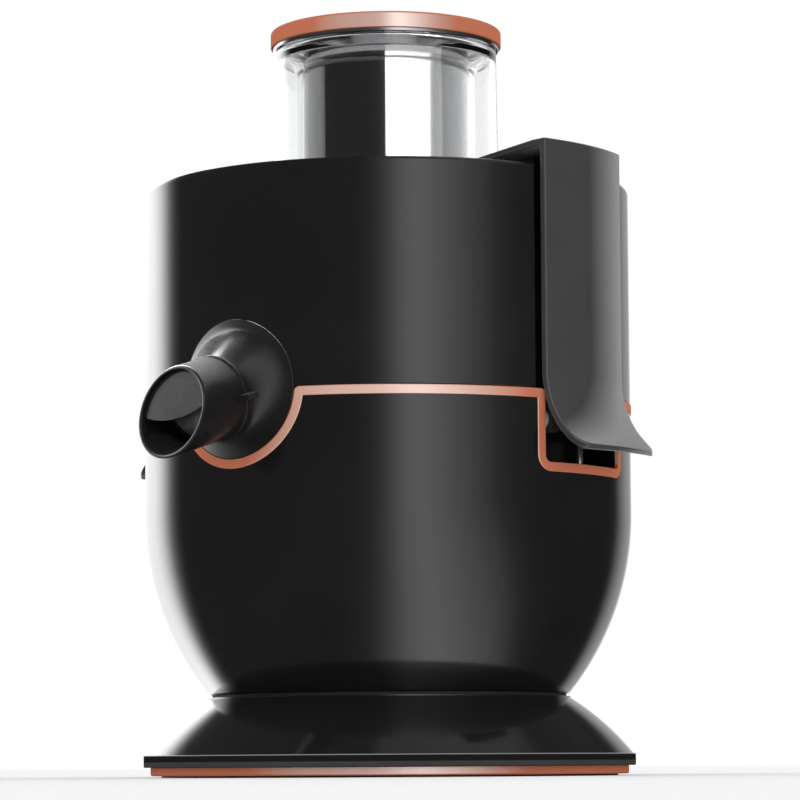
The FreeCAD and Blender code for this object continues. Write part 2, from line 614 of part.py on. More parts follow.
trumpet = doc.addObject("Part::Loft", "CollarTrumpet")
trumpet.Sections = [level_circle("TrumpetA", 29.6, 1.2, "0"),
                    level_circle("TrumpetB", 22.6, 7, "spout_tilt * 0.6"),
                    level_circle("TrumpetC", 18.2, 12, "spout_tilt * 0.9"),
                    level_circle("TrumpetD", 17.4, 15.5, "spout_tilt")]
trumpet.Solid = True
disc = common("CollarDisc", [
    rod_y("CollarPlug", "spout_disc - 0.3", -130, -104.4, 0, "spout_height"),
    rod("CollarLimit", "body_radius", 0, 0, 100, 240)])
pipe = cut("CollarPipe", spout_rod("CollarPipeRod", "neck_outer", -6, 32),
           [block("CollarPipeEnd", (-40, 40), (-104.4, -60), (100, 260))])
collar = fuse("CollarSolid", [disc, trumpet, pipe])
node(cut("SpoutCollar", collar, [spout_rod("CollarBore", "neck_inner", -12, 40)]),
     "spout_collar")


# ---------------------------------------------------------------- lid and chute

lid = turned("LidPlate", [
    ("chute_foot", "lid_top - 3.5"), (87.5, "lid_top - 3.5"), (87.5, 246), (89.5, 246),
    (89.5, "lid_top - 3.5"), (107.3, "lid_top - 3.5"), (107.3, "lid_top"),
    ("chute_foot", "lid_top")])
trims = [block("LidTrimRight", ("recess_flat - wall - 0.3", 130), (-60, 60), (240, 280)),
         block("LidTrimLeft", (-130, "-(recess_flat - wall - 0.3)"), (-60, 60), (240, 280))]
node(cut("Lid", lid, trims), "lid")
gasket = ring("LidGasketRing", 104.8, 107.2, "lid_seat", "lid_seat + 1")
trims = [block("GasketTrimRight", ("recess_flat - wall - 0.3", 130), (-60, 60), (240, 280)),
         block("GasketTrimLeft", (-130, "-(recess_flat - wall - 0.3)"), (-60, 60), (240, 280))]
node(cut("LidGasket", gasket, trims), "lid_gasket")

catches = []
right_catch = slab("CatchRight", [(72, "lid_top"), (98, "lid_top"), (98, 275.4), (96.5, 275.6),
                                  (73.5, 272.8), (72, 271.6)], 40)
catches.append(right_catch)
catches.append(half_turn("CatchLeft", right_catch))
node(group("LidCatches", catches), "lid_catches")

node(turned("FeedChute", [
    ("chute_foot", "lid_top - 3.5"), ("chute_foot", "lid_top"), ("chute_mouth", "chute_top"),
    ("chute_mouth - 2.2", "chute_top"), ("channel_radius", "chute_top - 8.6"),
    ("channel_radius", "channel_bottom"), ("channel_radius + 2", "channel_bottom"),
    ("channel_radius + 2", "chute_top - 9.6"), ("chute_mouth - 2.6", "chute_top - 3.4"),
    ("chute_foot - 2.4", "lid_top - 3.5")]), "feed_chute")


# ---------------------------------------------------------------- pusher

node(turned("PusherBody", [
    (0, "pusher_bottom"), ("pusher_radius - 1.5", "pusher_bottom"),
    ("pusher_radius", "pusher_bottom + 1.5"), ("pusher_radius", "chute_top - 8"),
    (47.3, "chute_top"), (47.3, "chute_top + 0.4"), (53, "chute_top + 0.4"),
    (53, "cap_bottom"), (34, "cap_bottom"), ("pusher_radius - 2.5", "chute_top - 8"),
    ("pusher_radius - 2.5", "pusher_bottom + 3"), (0, "pusher_bottom + 3")]), "pusher_body")
node(turned("CapRing", [
    (50.4, "cap_bottom"), ("cap_radius - 0.5", "cap_bottom"), ("cap_radius", "cap_bottom + 0.5"),
    ("cap_radius", "cap_top - 1.7"), ("cap_radius - 1.2", "cap_top - 0.5"),
    (50.4, "cap_top - 0.5")]), "pusher_cap_ring")
node(turned("CapTop", [
    (0, "cap_top - 4"), (45, "cap_top - 4"), (45, "cap_bottom"), (50.4, "cap_bottom"),
    (50.4, "cap_top - 0.6"), (49.8, "cap_top"), (46, "cap_top"), (44, "cap_top - 1.4"),
    (0, "cap_top - 1.4")]), "pusher_cap_top")


# ---------------------------------------------------------------- latches

swing_x = "flare_radius * (1 - cos(flare_sweep * 1 deg))"
swing_z = "flare_radius * sin(flare_sweep * 1 deg)"
inner_x = "(flare_radius + latch_skin) * (1 - cos(flare_sweep * 1 deg))"
inner_z = "(flare_radius + latch_skin) * sin(flare_sweep * 1 deg)"
panel = turned("LatchPanel", [
    ("latch_radius - latch_skin", "latch_top - 0.8"), ("latch_radius - latch_skin", "flare_start"),
    (f"latch_radius - latch_skin + {inner_x}", f"flare_start - {inner_z}"),
    (f"latch_radius + {swing_x}", f"flare_start - {swing_z}"),
    ("latch_radius", "flare_start"), ("latch_radius", "latch_top - 0.8"),
    ("latch_radius - 0.8", "latch_top"), ("latch_radius - latch_skin", "latch_top")],
    {1: "-(flare_radius + latch_skin)", 3: "flare_radius"})
side = block("LatchSide", (60, 140), ("-latch_half", "latch_half"), (120, 300))
tongue = slab("LatchTongue", [
    (112.6, "latch_top - 3.2"), (112.6, "latch_top"), (108, "latch_top - 0.3"),
    (78, "latch_top - 4.8"), (70, "latch_top - 5.8"), (69.2, "latch_top - 7"),
    (70, "latch_top - 8.6"), (78, "latch_top - 7.8"), (108, "latch_top - 3.4")],
    "2 * latch_half")
cover = fuse("LatchCover", [common("LatchShell", [panel, side]), tongue])
node(cover, "latch_right_cover")

rib = common("LatchRibTrim", [
    block("LatchRib", (108.6, 113), (-22, 22), (152, 276)),
    rod("LatchRibLimit", "latch_radius - latch_skin", 0, 0, 140, 290)])
lugs = []
for tag, y in (("A", (-25, -20)), ("B", (20, 25))):
    lugs.append(block(f"LugArm{tag}", ("pivot_x", 109.6), y, ("pivot_z - 6", "pivot_z + 6")))
    lugs.append(rod_y(f"LugEye{tag}", 6, y[0], y[1], "pivot_x", "pivot_z"))
gussets = [block("RibGussetA", (105.6, 109.6), (-14, -11), (180, 272)),
           block("RibGussetB", (105.6, 109.6), (11, 14), (180, 272))]
toe = fuse("LatchToe", [rod_y("ToeRound", 3, -4, 4, "pivot_x + 5", "pivot_z - 5.5"),
                        block("ToeArm", (108.6, 111.5), (-4, 4), (151.5, 156))])
arm = fuse("LatchArmSolid", [rib, toe] + lugs + gussets)
arm = cut("LatchArm", arm, [rod_y("LugBore", "pivot_bore", -40, 40, "pivot_x", "pivot_z")])
node(arm, "latch_right_arm")
node(half_turn("LatchLeftCover", cover), "latch_left_cover")
node(half_turn("LatchLeftArm", arm), "latch_left_arm")

reach = "notch_half + wall"
pins = [rod_y("PinRight", "pivot_pin", f"-({reach})", reach, "pivot_x", "pivot_z"),
        rod_y("PinLeft", "pivot_pin", f"-({reach})", reach, "-pivot_x", "pivot_z")]
node(group("PivotPins", pins), "latch_pivot_pins")
bushes = []
for tag, x in (("Right", "pivot_x"), ("Left", "-pivot_x")):
    for end, y in (("A", (-28.4, -25.4)), ("B", (25.4, 28.4))):
        ringlet = rod_y(f"Bush{tag}{end}", 5.2, y[0], y[1], x, "pivot_z")
        bore = rod_y(f"BushBore{tag}{end}", "pivot_pin", -40, 40, x, "pivot_z")
        bushes.append(cut(f"Bushing{tag}{end}", ringlet, [bore]))
node(group("Bushings", bushes), "latch_bushings")

node(rod("ButtonRight", "button_radius", "button_x", 0, 130, 148.2), "interlock_pin_right")
node(rod("ButtonLeft", "button_radius", "-button_x", 0, 130, 148.2), "interlock_pin_left")


# ---------------------------------------------------------------- nozzle and knob

mouth_y = "-spout_face - mouth_centre * cos(spout_tilt * 1 deg)"
mouth_z = "spout_height - mouth_centre * sin(spout_tilt * 1 deg)"


def mouth_slab(name, inside, thickness):
    """A wide slab parallel to the nozzle mouth; inside is its depth behind the mouth."""
    sizes = {"Length": 80, "Width": 80, "Height": thickness}
    lean = "mouth_lean * 1 deg"
    at = (-40, f"{mouth_y} + ({inside}) * cos({lean}) - 40 * sin({lean})",
          f"{mouth_z} - ({inside}) * sin({lean}) - 40 * cos({lean})")
    return primitive("Part::Box", name, sizes, at, ((1, 0, 0), "90 - mouth_lean"))


tube = spout_rod("SleeveOuter", "sleeve_outer", "sleeve_start", 66)
collar_ring = spout_rod("SleeveBand", "sleeve_outer + 0.6", "sleeve_start", "sleeve_start + 1.6")
sleeve = cut("NozzleSleeve", fuse("SleeveSolid", [tube, collar_ring]),
             [spout_rod("SleeveBore", "sleeve_inner", 10, 70), mouth_slab("MouthCut", 0, 40)])
node(sleeve, "nozzle_sleeve")

sizes = {"Radius": 42, "Height": 30}
at = (0, f"{mouth_y} + 10 * cos(mouth_lean * 1 deg) + 38.6 * sin(mouth_lean * 1 deg)",
      f"{mouth_z} - 10 * sin(mouth_lean * 1 deg) + 38.6 * cos(mouth_lean * 1 deg)")
arch = primitive("Part::Cylinder", "BaffleArch", sizes, at, ((1, 0, 0), "90 - mouth_lean"))
baffle = common("NozzleBaffle", [mouth_slab("BaffleSlab", 3.4, 1.6),
                                 spout_rod("BafflePlug", "sleeve_inner", 20, 66), arch])
node(baffle, "nozzle_baffle")

lever = block("LeverTab", (17, 24.5), (0, 7), (-1.2, 1.2))
lever.setExpression("Placement.Base.y", linked("-spout_face - 24 * cos(spout_tilt * 1 deg)"))
lever.setExpression("Placement.Base.z", linked("spout_height - 24 * sin(spout_tilt * 1 deg) - 1.2"))
lever.Placement.Rotation = Rotation(Vector(1, 0, 0), number("spout_tilt"))
lever = cut("NozzleLever", lever, [
    spout_rod("LeverCut", "sleeve_outer", 10, 40),
    spout_rod("LeverBandCut", "sleeve_outer + 0.6", 10, "sleeve_start + 1.6")])
node(lever, "nozzle_lever")

knob = fuse("ControlKnob", [
    rod_x("KnobDisc", "knob_radius", -118, -106.5, 0, "knob_height"),
    rod_x("KnobStem", 3.8, -106.5, -96, 0, "knob_height"),
    block("KnobGrip", (-127, -118), (-3.5, 3.5), ("knob_height - 17", "knob_height + 17"))])
node(knob, "control_knob")
node(block("KnobPointer", (-127.6, -127), (-0.8, 0.8), ("knob_height + 4", "knob_height + 16")),
     "knob_pointer")


# ---------------------------------------------------------------- check and export

doc.recompute()
for item in doc.Objects:
    if any(word in ("Invalid", "Error") for word in item.State):
        raise RuntimeError(f"{item.Name} did not build: {item.State}")
os.makedirs("parts", exist_ok=True)
for item in NODES:
    shape = item.Shape
    if shape.isNull() or not shape.isValid() or not shape.Solids:
        raise RuntimeError(f"{item.Label} has no sound solid")
    shape.exportStep(f"parts/{item.Label}.step")
    box = shape.BoundBox
    print(f"{item.Label:24s} solids {len(shape.Solids):3d}  volume {shape.Volume:10.1f}  "
          f"x {box.XMin:7.1f}..{box.XMax:6.1f}  y {box.YMin:7.1f}..{box.YMax:6.1f}  "
          f"z {box.ZMin:6.1f}..{box.ZMax:6.1f}")
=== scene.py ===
import json
import math

import bmesh
import bpy
from mathutils import Matrix, Vector
from mathutils.geometry import interpolate_bezier


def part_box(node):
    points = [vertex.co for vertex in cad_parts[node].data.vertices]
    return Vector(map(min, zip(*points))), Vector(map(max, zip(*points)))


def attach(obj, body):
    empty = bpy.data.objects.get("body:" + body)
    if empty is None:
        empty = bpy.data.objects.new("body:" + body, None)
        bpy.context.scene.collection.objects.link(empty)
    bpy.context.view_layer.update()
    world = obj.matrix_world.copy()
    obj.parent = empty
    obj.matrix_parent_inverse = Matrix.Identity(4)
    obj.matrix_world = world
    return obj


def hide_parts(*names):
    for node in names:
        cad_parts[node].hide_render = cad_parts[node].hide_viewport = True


# The looks of the centrifugal juicer.  Outlines are drawn in millimetres, like the CAD source,
# and scaled to metres when a mesh is made.  +Z is up, the spout points along -Y and the two
# latches sit at +X and -X.

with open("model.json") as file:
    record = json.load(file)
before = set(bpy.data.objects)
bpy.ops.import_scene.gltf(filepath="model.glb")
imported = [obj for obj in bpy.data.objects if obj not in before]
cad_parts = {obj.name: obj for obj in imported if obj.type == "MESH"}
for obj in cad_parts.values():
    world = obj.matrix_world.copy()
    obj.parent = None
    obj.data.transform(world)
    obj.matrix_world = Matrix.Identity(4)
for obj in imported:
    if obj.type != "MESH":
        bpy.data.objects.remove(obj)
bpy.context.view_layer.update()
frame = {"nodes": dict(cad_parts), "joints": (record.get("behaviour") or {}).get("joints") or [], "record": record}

MM = 0.001
SEGMENTS = 256          # steps round the main axis
ROUND_STEPS = 6         # steps in a rounded corner
BEND_STEPS = 8          # steps in a bend of the seam line
PAST_SIDES = 150.0      # how far out the cutters reach
PAST_TOP = 320.0        # how high the cutters reach
SHARP = math.radians(38)        # an edge that bends further than this stays sharp


def low(name):
    """Lowest corner of a CAD node in millimetres."""
    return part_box(name)[0] / MM


def high(name):
    """Highest corner of a CAD node in millimetres."""
    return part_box(name)[1] / MM


def joint(name):
    """A joint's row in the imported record."""
    return next(j for j in frame["joints"] if j["name"] == name)


# ---------------------------------------------------------------- sizes read from the frame

BODY_R = high("lower_housing").x
HOUSING_BOTTOM = low("lower_housing").z
SEAM_Z = high("seam_trim").z
TRIM_R = high("seam_trim").x
BOWL_BOTTOM = SEAM_Z + 0.2       # the bowl and the housing never share a face
RIM_Z = high("upper_bowl").z
FOOT_R = high("foot_skirt").x
FOOT_BOTTOM = low("foot_skirt").z
FOOT_TOP = high("foot_skirt").z
CHUTE_TOP = high("feed_chute").z
CHUTE_FOOT_R = high("feed_chute").x
CHUTE_FOOT_Z = low("lid").z
CHANNEL_BOTTOM = low("feed_chute").z
PUSHER_BOTTOM = low("pusher_body").z
CAP_R = high("pusher_cap_ring").x
CAP_BOTTOM = low("pusher_cap_ring").z
CAP_TOP = high("pusher_cap_top").z
LATCH_TOP = high("latch_right_cover").z
LATCH_HALF = high("latch_right_cover").y
KNOB_Z = (low("control_knob").z + high("control_knob").z) / 2
SPOUT_BASE = Vector(joint("nozzle_turn")["pos_m"]) / MM
SPOUT_AXIS = Vector(joint("nozzle_turn")["axis"])

FLANGE_TOP = FOOT_BOTTOM + 5.6  # the flat rim of the foot
WALL = 2.8              # moulded wall of the housing and the bowl
TRIM_BAND = 4.2         # visible width of the seam trim
TRIM_CORNER = 2.4       # rounded upper corners of the seam trim
LEDGE_R = 111.3         # inner face of the seam trim
SPOUT_DISC = 31.0       # opening for the spout collar
SPOUT_DEPTH = 104.4     # how far in the collar starts
NOTCH_HALF = 28.4       # half the width of the latch notch in the lower housing
NOTCH_FLOOR = low("seam_trim").z + TRIM_BAND
NOTCH_CORNER = 3.0
RECESS_FLAT = 104.0     # flat back of the latch recess in the bowl
RECESS_HALF = 32.5      # half the recess's width


# ---------------------------------------------------------------- mesh helpers

def turn(vector, angle):
    """A 2-D vector turned counter-clockwise."""
    return Matrix.Rotation(angle, 2) @ vector


def around(steps):
    return [2 * math.pi * i / steps for i in range(steps)]


def rounded(corners, steps=ROUND_STEPS):
    """A closed outline; the third number of a corner, if any, is its radius."""
    points = []
    count = len(corners)
    for i, corner in enumerate(corners):
        here = Vector(corner[:2])
        if len(corner) < 3:
            points.append(here)
            continue
        radius = corner[2]
        back = (Vector(corners[i - 1][:2]) - here).normalized()
        ahead = (Vector(corners[(i + 1) % count][:2]) - here).normalized()
        half = back.angle(ahead) / 2
        centre = here + (back + ahead).normalized() * (radius / math.sin(half))
        start = here + back * (radius / math.tan(half)) - centre
        end = here + ahead * (radius / math.tan(half)) - centre
        sweep = start.angle(end) * (1 if start.cross(end) > 0 else -1)
        points += [centre + turn(start, sweep * k / steps) for k in range(steps + 1)]
    return points


def arc(start, end, radius, steps):
    """Points after start and before end on an arc that bulges left of the way for radius > 0."""
    start, end = Vector(start), Vector(end)
    chord = end - start
    side = Vector((-chord.y, chord.x)).normalized() * math.copysign(1, radius)
    centre = (start + end) / 2 - side * math.sqrt(radius ** 2 - (chord.length / 2) ** 2)
    first, last = start - centre, end - centre
    sweep = first.angle(last) * (1 if first.cross(last) > 0 else -1)
    return [centre + turn(first, sweep * k / steps) for k in range(1, steps)]


def bezier(knots, steps):
    """A cubic curve through its four control points."""
    return interpolate_bezier(*[Vector((*k, 0)) for k in knots], steps + 1)


def piece(name, mesh_bm):
    """Turns a bmesh drawn in millimetres into a tidy object in metres."""
    bmesh.ops.remove_doubles(mesh_bm, verts=mesh_bm.verts, dist=1e-4)
    bmesh.ops.dissolve_degenerate(mesh_bm, edges=mesh_bm.edges, dist=1e-5)
    bmesh.ops.recalc_face_normals(mesh_bm, faces=mesh_bm.faces)
    bmesh.ops.scale(mesh_bm, vec=(MM, MM, MM), verts=mesh_bm.verts)
    mesh = bpy.data.meshes.new(name)
    mesh_bm.to_mesh(mesh)
    mesh_bm.free()
    thing = bpy.data.objects.new(name, mesh)
    bpy.context.scene.collection.objects.link(thing)
    return thing


def skin(name, rows, wrap_rows=False, caps=False):
    """A surface through closed rows of points with equal counts."""
    made = bmesh.new()
    verts = [[made.verts.new(p) for p in row] for row in rows]
    row_count, column_count = len(rows), len(rows[0])
    for i in range(row_count if wrap_rows else row_count - 1):
        a, b = verts[i], verts[(i + 1) % row_count]
        for j in range(column_count):
            k = (j + 1) % column_count
            made.faces.new((a[j], a[k], b[k], b[j]))
    if caps:
        made.faces.new(verts[0])
        made.faces.new(verts[-1])
    return piece(name, made)


def lathe(name, outline):
    """A closed (r, z) outline turned about the main axis."""
    rows = [[(r * math.cos(a), r * math.sin(a), z) for r, z in outline]
            for a in around(SEGMENTS)]
    return skin(name, rows, wrap_rows=True)


def prism(name, outline, axis, near, far):
    """An outline in the plane across an axis, stretched along it from near to far."""
    def place(u, v, along):
        return {"x": (along, u, v), "y": (u, along, v), "z": (u, v, along)}[axis]
    rows = [[place(u, v, along) for u, v in outline] for along in (near, far)]
    return skin(name, rows, caps=True)


def circle(centre_u, centre_v, radius):
    return [(centre_u + radius * math.cos(a), centre_v + radius * math.sin(a))
            for a in around(192)]


def rectangle(u, v):
    return [(u[0], v[0]), (u[1], v[0]), (u[1], v[1]), (u[0], v[1])]


def bake(thing):
    """Applies the modifiers of an object."""
    bpy.context.view_layer.update()
    graph = bpy.context.evaluated_depsgraph_get()
    mesh = bpy.data.meshes.new_from_object(thing.evaluated_get(graph))
    thing.modifiers.clear()
    thing.data = mesh


def combine(thing, *tools, operation="DIFFERENCE"):
    """An exact Boolean with each tool in turn; the tools are used up."""
    for tool in tools:
        change = thing.modifiers.new("combine", "BOOLEAN")
        change.operation = operation
        change.solver = "EXACT"
        change.object = tool
        bake(thing)
        bpy.data.objects.remove(tool)
    return thing


def finish_piece(thing, body, slot, material, *nodes):
    """Smooth shading, material, body and the CAD nodes that the piece stands for; the slot is not used."""
    thing.data.shade_smooth()
    thing.data.set_sharp_from_angle(angle=SHARP)
    even = thing.modifiers.new("even_normals", "WEIGHTED_NORMAL")
    even.keep_sharp = True
    thing.data.materials.clear()
    thing.data.materials.append(material)
    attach(thing, body)
    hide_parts(*nodes)


# ---------------------------------------------------------------- materials

def start_material(name):
    """A new material with its node tree and its Principled shader."""
    material = bpy.data.materials.new(name)
    material.use_nodes = True
    tree = material.node_tree
    return material, tree, tree.nodes["Principled BSDF"]


def add(tree, kind, inputs=None, **settings):
    """A node with its settings; an input takes a value or the socket that feeds it."""
    made = tree.nodes.new(kind)
    for key, value in settings.items():
        setattr(made, key, value)
    for key, value in (inputs or {}).items():
        if isinstance(value, bpy.types.NodeSocket):
            tree.links.new(value, made.inputs[key])
        else:
            made.inputs[key].default_value = value
    return made


def noise(tree, scale, detail, stretch=(1, 1, 1), roughness=0.5):
    """Noise in the object's own metres; stretch scales each axis."""
    place = add(tree, "ShaderNodeTexCoord")
    mapped = add(tree, "ShaderNodeMapping", {"Vector": place.outputs["Object"], "Scale": stretch})
    return add(tree, "ShaderNodeTexNoise", {"Vector": mapped.outputs[0], "Scale": scale,
                                            "Detail": detail, "Roughness": roughness})


def spread(tree, source, from_low, from_high, to_low=0.0, to_high=1.0):
    """One range stretched over another, held at its ends."""
    made = add(tree, "ShaderNodeMapRange", {"Value": source, "From Min": from_low,
                                            "From Max": from_high, "To Min": to_low,
                                            "To Max": to_high})
    return made.outputs[0]


def calc(tree, operation, first, second=None, clamp=False):
    """One sum on numbers or sockets."""
    inputs = {0: first} if second is None else {0: first, 1: second}
    return add(tree, "ShaderNodeMath", inputs, operation=operation, use_clamp=clamp).outputs[0]


def mix(tree, factor, first, second):
    """The first number at factor 0 and the second at factor 1."""
    return add(tree, "ShaderNodeMix", {"Factor": factor, "A": first, "B": second},
               data_type="FLOAT").outputs[0]


def blend_colour(tree, factor, dark, light):
    """The dark colour at factor 0 and the light one at factor 1."""
    made = add(tree, "ShaderNodeMix", data_type="RGBA")
    tree.links.new(factor, made.inputs["Factor"])
    for socket, colour in ((made.inputs[6], dark), (made.inputs[7], light)):
        if isinstance(colour, bpy.types.NodeSocket):
            tree.links.new(colour, socket)
        else:
            socket.default_value = (*colour, 1)
    return made.outputs[2]


LOOKS = {}


def moulded(name, dark, light, gloss, grain, coat=None, metallic=0.0, stretch=(1, 1, 1),
            specular=0.5, rim=None, bands=()):
    """Plastic, paint or metal with uneven colour, smudged gloss and a fine surface grain.

    gloss = (roughness, how far smudges change it) and grain = (scale, depth).
    coat = (weight, roughness, IOR).  stretch scales the smudges and the grain along each axis.
    rim = (start, end, colour, shine) blends to a colour and shine where the surface turns away; on the copper the
    lighter facing colour is a painted highlight, and on the latch the lighter turned-away colour is a painted
    sheen.
    bands = ((height, tone, shine), ...) paints level bands from each height upwards; on the foot these are painted
    light, a lighter lower band for light on the bevel and a painted highlight line under the flange top.
    """
    material, tree, shader = start_material(name)
    rough, smudged = gloss
    cloud = noise(tree, scale=22.0, detail=3.0)
    smudge = noise(tree, scale=60.0, detail=5.0, stretch=stretch, roughness=0.6)
    base = blend_colour(tree, spread(tree, cloud.outputs[0], 0.35, 0.65), dark, light)
    roughness = spread(tree, smudge.outputs[0], 0.3, 0.7, rough - smudged, rough + smudged)
    tree.links.new(roughness, shader.inputs["Roughness"])
    grain_scale, grain_depth = grain
    fine = noise(tree, scale=grain_scale, detail=2.0, stretch=stretch)
    bump = add(tree, "ShaderNodeBump", {"Height": fine.outputs[0], "Strength": grain_depth,
                                        "Distance": 0.0002})
    tree.links.new(bump.outputs[0], shader.inputs["Normal"])
    coat_weight, coat_rough, coat_ior = coat or (0.0, 0.08, 1.5)
    shader.inputs["Metallic"].default_value = metallic
    shader.inputs["Specular IOR Level"].default_value = specular
    shader.inputs["Coat Weight"].default_value = coat_weight
    shader.inputs["Coat Roughness"].default_value = coat_rough
    shader.inputs["Coat IOR"].default_value = coat_ior
    # The colour blend by facing below is painted light: it paints the copper's highlight and the latch's sheen
    # into the base colour.
    if rim:
        start, end, colour, shine = rim
        facing = add(tree, "ShaderNodeLayerWeight", {"Blend": 0.5}).outputs["Facing"]
        turned = spread(tree, facing, start, end)
        base = blend_colour(tree, turned, base, colour)
        level = spread(tree, turned, 0.0, 1.0, specular, shine)
        tree.links.new(level, shader.inputs["Specular IOR Level"])
        if coat:
            tree.links.new(spread(tree, turned, 0.0, 1.0, coat_weight, 0.0),
                           shader.inputs["Coat Weight"])
    # The level bands below are painted light on the foot's flange: a lit lower bevel and a highlight line along
    # its top edge.
    if bands:
        place = add(tree, "ShaderNodeTexCoord")
        height = add(tree, "ShaderNodeSeparateXYZ", {"Vector": place.outputs["Object"]})
        soft = 0.0001           # half the metres over which a band's edge blends
        level = specular
        for z, tone, shine in bands:
            over = spread(tree, height.outputs["Z"], z * MM - soft, z * MM + soft)
            base = blend_colour(tree, over, base, (tone, tone, tone))
            level = mix(tree, over, level, shine)
        tree.links.new(level, shader.inputs["Specular IOR Level"])
    tree.links.new(base, shader.inputs["Base Color"])
    LOOKS[name] = material


def clear_plastic(name, tint, rough, transmission):
    """Clear plastic with faint upright streaks and ripples."""
    material, tree, shader = start_material(name)
    streaks = noise(tree, scale=90.0, detail=3.0, stretch=(1, 1, 0.12))
    roughness = spread(tree, streaks.outputs[0], 0.3, 0.7, rough * 0.6, rough * 1.6)
    tree.links.new(roughness, shader.inputs["Roughness"])
    cloud = noise(tree, scale=14.0, detail=2.0)
    lighter = tuple(min(1.0, c * 1.02) for c in tint)
    colour = blend_colour(tree, spread(tree, cloud.outputs[0], 0.3, 0.7), tint, lighter)
    tree.links.new(colour, shader.inputs["Base Color"])
    ripple = noise(tree, scale=45.0, detail=2.0, stretch=(1, 1, 0.2))
    bump = add(tree, "ShaderNodeBump", {"Height": ripple.outputs[0], "Strength": 0.03,
                                        "Distance": 0.0005})
    tree.links.new(bump.outputs[0], shader.inputs["Normal"])
    shader.inputs["Transmission Weight"].default_value = transmission
    shader.inputs["IOR"].default_value = 1.46
    LOOKS[name] = material


moulded("gloss_black", (0.0062, 0.0062, 0.0066), (0.0080, 0.0080, 0.0084), gloss=(0.13, 0.02),
        grain=(700, 0.02))
# On the flange, the base tone (0.050) below the first band is painted light on its lower bevel, and the 0.26 band
# just under the flange top is a painted highlight line.
moulded("foot_black", (0.050, 0.050, 0.051), (0.056, 0.056, 0.057), gloss=(0.13, 0.02),
        grain=(700, 0.02), specular=0.0,
        bands=((FOOT_BOTTOM + 2.4, 0.0125, 0.0), (FLANGE_TOP - 0.5, 0.26, 0.0),
                (FLANGE_TOP - 0.08, 0.0100, 0.5)))
moulded("pusher_black", (0.30, 0.30, 0.31), (0.33, 0.33, 0.34), gloss=(0.06, 0.01),
        grain=(700, 0.01), metallic=1.0)
moulded("cap_black", (0.010, 0.010, 0.0105), (0.014, 0.014, 0.0145), gloss=(0.30, 0.04),
        grain=(1500, 0.06), rim=(0.3, 0.75, (0.012, 0.012, 0.012), 0.0))
moulded("spout_black", (0.009, 0.009, 0.0095), (0.012, 0.012, 0.0125), gloss=(0.27, 0.04),
        grain=(1500, 0.05), specular=0.28)
moulded("satin_black", (0.010, 0.010, 0.0105), (0.014, 0.014, 0.0145), gloss=(0.30, 0.04),
        grain=(1500, 0.06))
# The latch's rim colour 0.30 is a painted sheen where the cover turns away from the viewer.
moulded("latch_satin", (0.046, 0.046, 0.047), (0.054, 0.054, 0.055), gloss=(0.36, 0.04),
        grain=(1800, 0.08), rim=(0.44, 0.66, (0.30, 0.30, 0.30), 0.3))
moulded("latch_inner", (0.016, 0.016, 0.017), (0.022, 0.022, 0.023), gloss=(0.50, 0.05),
        grain=(1500, 0.12))
# The copper's light colour where it faces the viewer is a painted highlight; the rim colour is its own deeper
# copper.
moulded("copper_trim", (0.78, 0.50, 0.41), (0.84, 0.54, 0.45), gloss=(0.36, 0.04),
        grain=(2200, 0.05), coat=(0.8, 0.14, 2.1), stretch=(1, 1, 5), specular=0.6,
        rim=(0.01, 0.19, (0.54, 0.175, 0.10), 0.0))
# The cap ring's light colour where it faces the viewer is a painted highlight; the rim colour is its own deeper
# copper.
moulded("cap_copper", (0.72, 0.45, 0.37), (0.78, 0.49, 0.41), gloss=(0.36, 0.04),
        grain=(2200, 0.03), coat=(1.0, 0.06, 2.8), stretch=(1, 1, 5), specular=0.6,
        rim=(0.01, 0.24, (0.54, 0.175, 0.10), 0.0))
moulded("rubber_black", (0.016, 0.016, 0.016), (0.024, 0.024, 0.024), gloss=(0.72, 0.06),
        grain=(2600, 0.30))
moulded("base_plastic", (0.028, 0.028, 0.029), (0.036, 0.036, 0.037), gloss=(0.52, 0.05),
        grain=(1600, 0.22))
moulded("screw_steel", (0.52, 0.52, 0.53), (0.62, 0.62, 0.63), gloss=(0.32, 0.08),
        grain=(900, 0.10), metallic=1.0)
moulded("pin_chrome", (0.24, 0.24, 0.25), (0.30, 0.30, 0.31), gloss=(0.16, 0.04),
        grain=(1200, 0.04), metallic=1.0)
moulded("bearing_steel", (0.48, 0.48, 0.50), (0.58, 0.58, 0.60), gloss=(0.28, 0.06),
        grain=(1400, 0.10), metallic=1.0)
moulded("lamination_steel", (0.22, 0.22, 0.23), (0.34, 0.34, 0.35), gloss=(0.46, 0.08),
        grain=(700, 0.45), metallic=1.0, stretch=(1, 1, 14))
moulded("sieve_steel", (0.58, 0.58, 0.59), (0.68, 0.68, 0.69), gloss=(0.26, 0.05),
        grain=(1600, 0.12), metallic=1.0)
moulded("winding_copper", (0.55, 0.20, 0.07), (0.72, 0.31, 0.12), gloss=(0.34, 0.08),
        grain=(900, 0.55), metallic=0.9, stretch=(1, 1, 9))
moulded("brush_brass", (0.58, 0.42, 0.14), (0.68, 0.50, 0.20), gloss=(0.30, 0.06),
        grain=(1300, 0.12), metallic=1.0)
moulded("board_green", (0.012, 0.085, 0.038), (0.022, 0.13, 0.060), gloss=(0.38, 0.06),
        grain=(1200, 0.18))
moulded("switch_black", (0.020, 0.020, 0.021), (0.030, 0.030, 0.031), gloss=(0.46, 0.05),
        grain=(1500, 0.18))
moulded("deck_grey", (0.085, 0.085, 0.09), (0.125, 0.125, 0.13), gloss=(0.48, 0.06),
        grain=(1500, 0.22))
moulded("bush_grey", (0.36, 0.37, 0.38), (0.42, 0.43, 0.44), gloss=(0.42, 0.05),
        grain=(1500, 0.12))
moulded("pointer_mark", (0.70, 0.70, 0.69), (0.78, 0.78, 0.77), gloss=(0.45, 0.05),
        grain=(1500, 0.10))
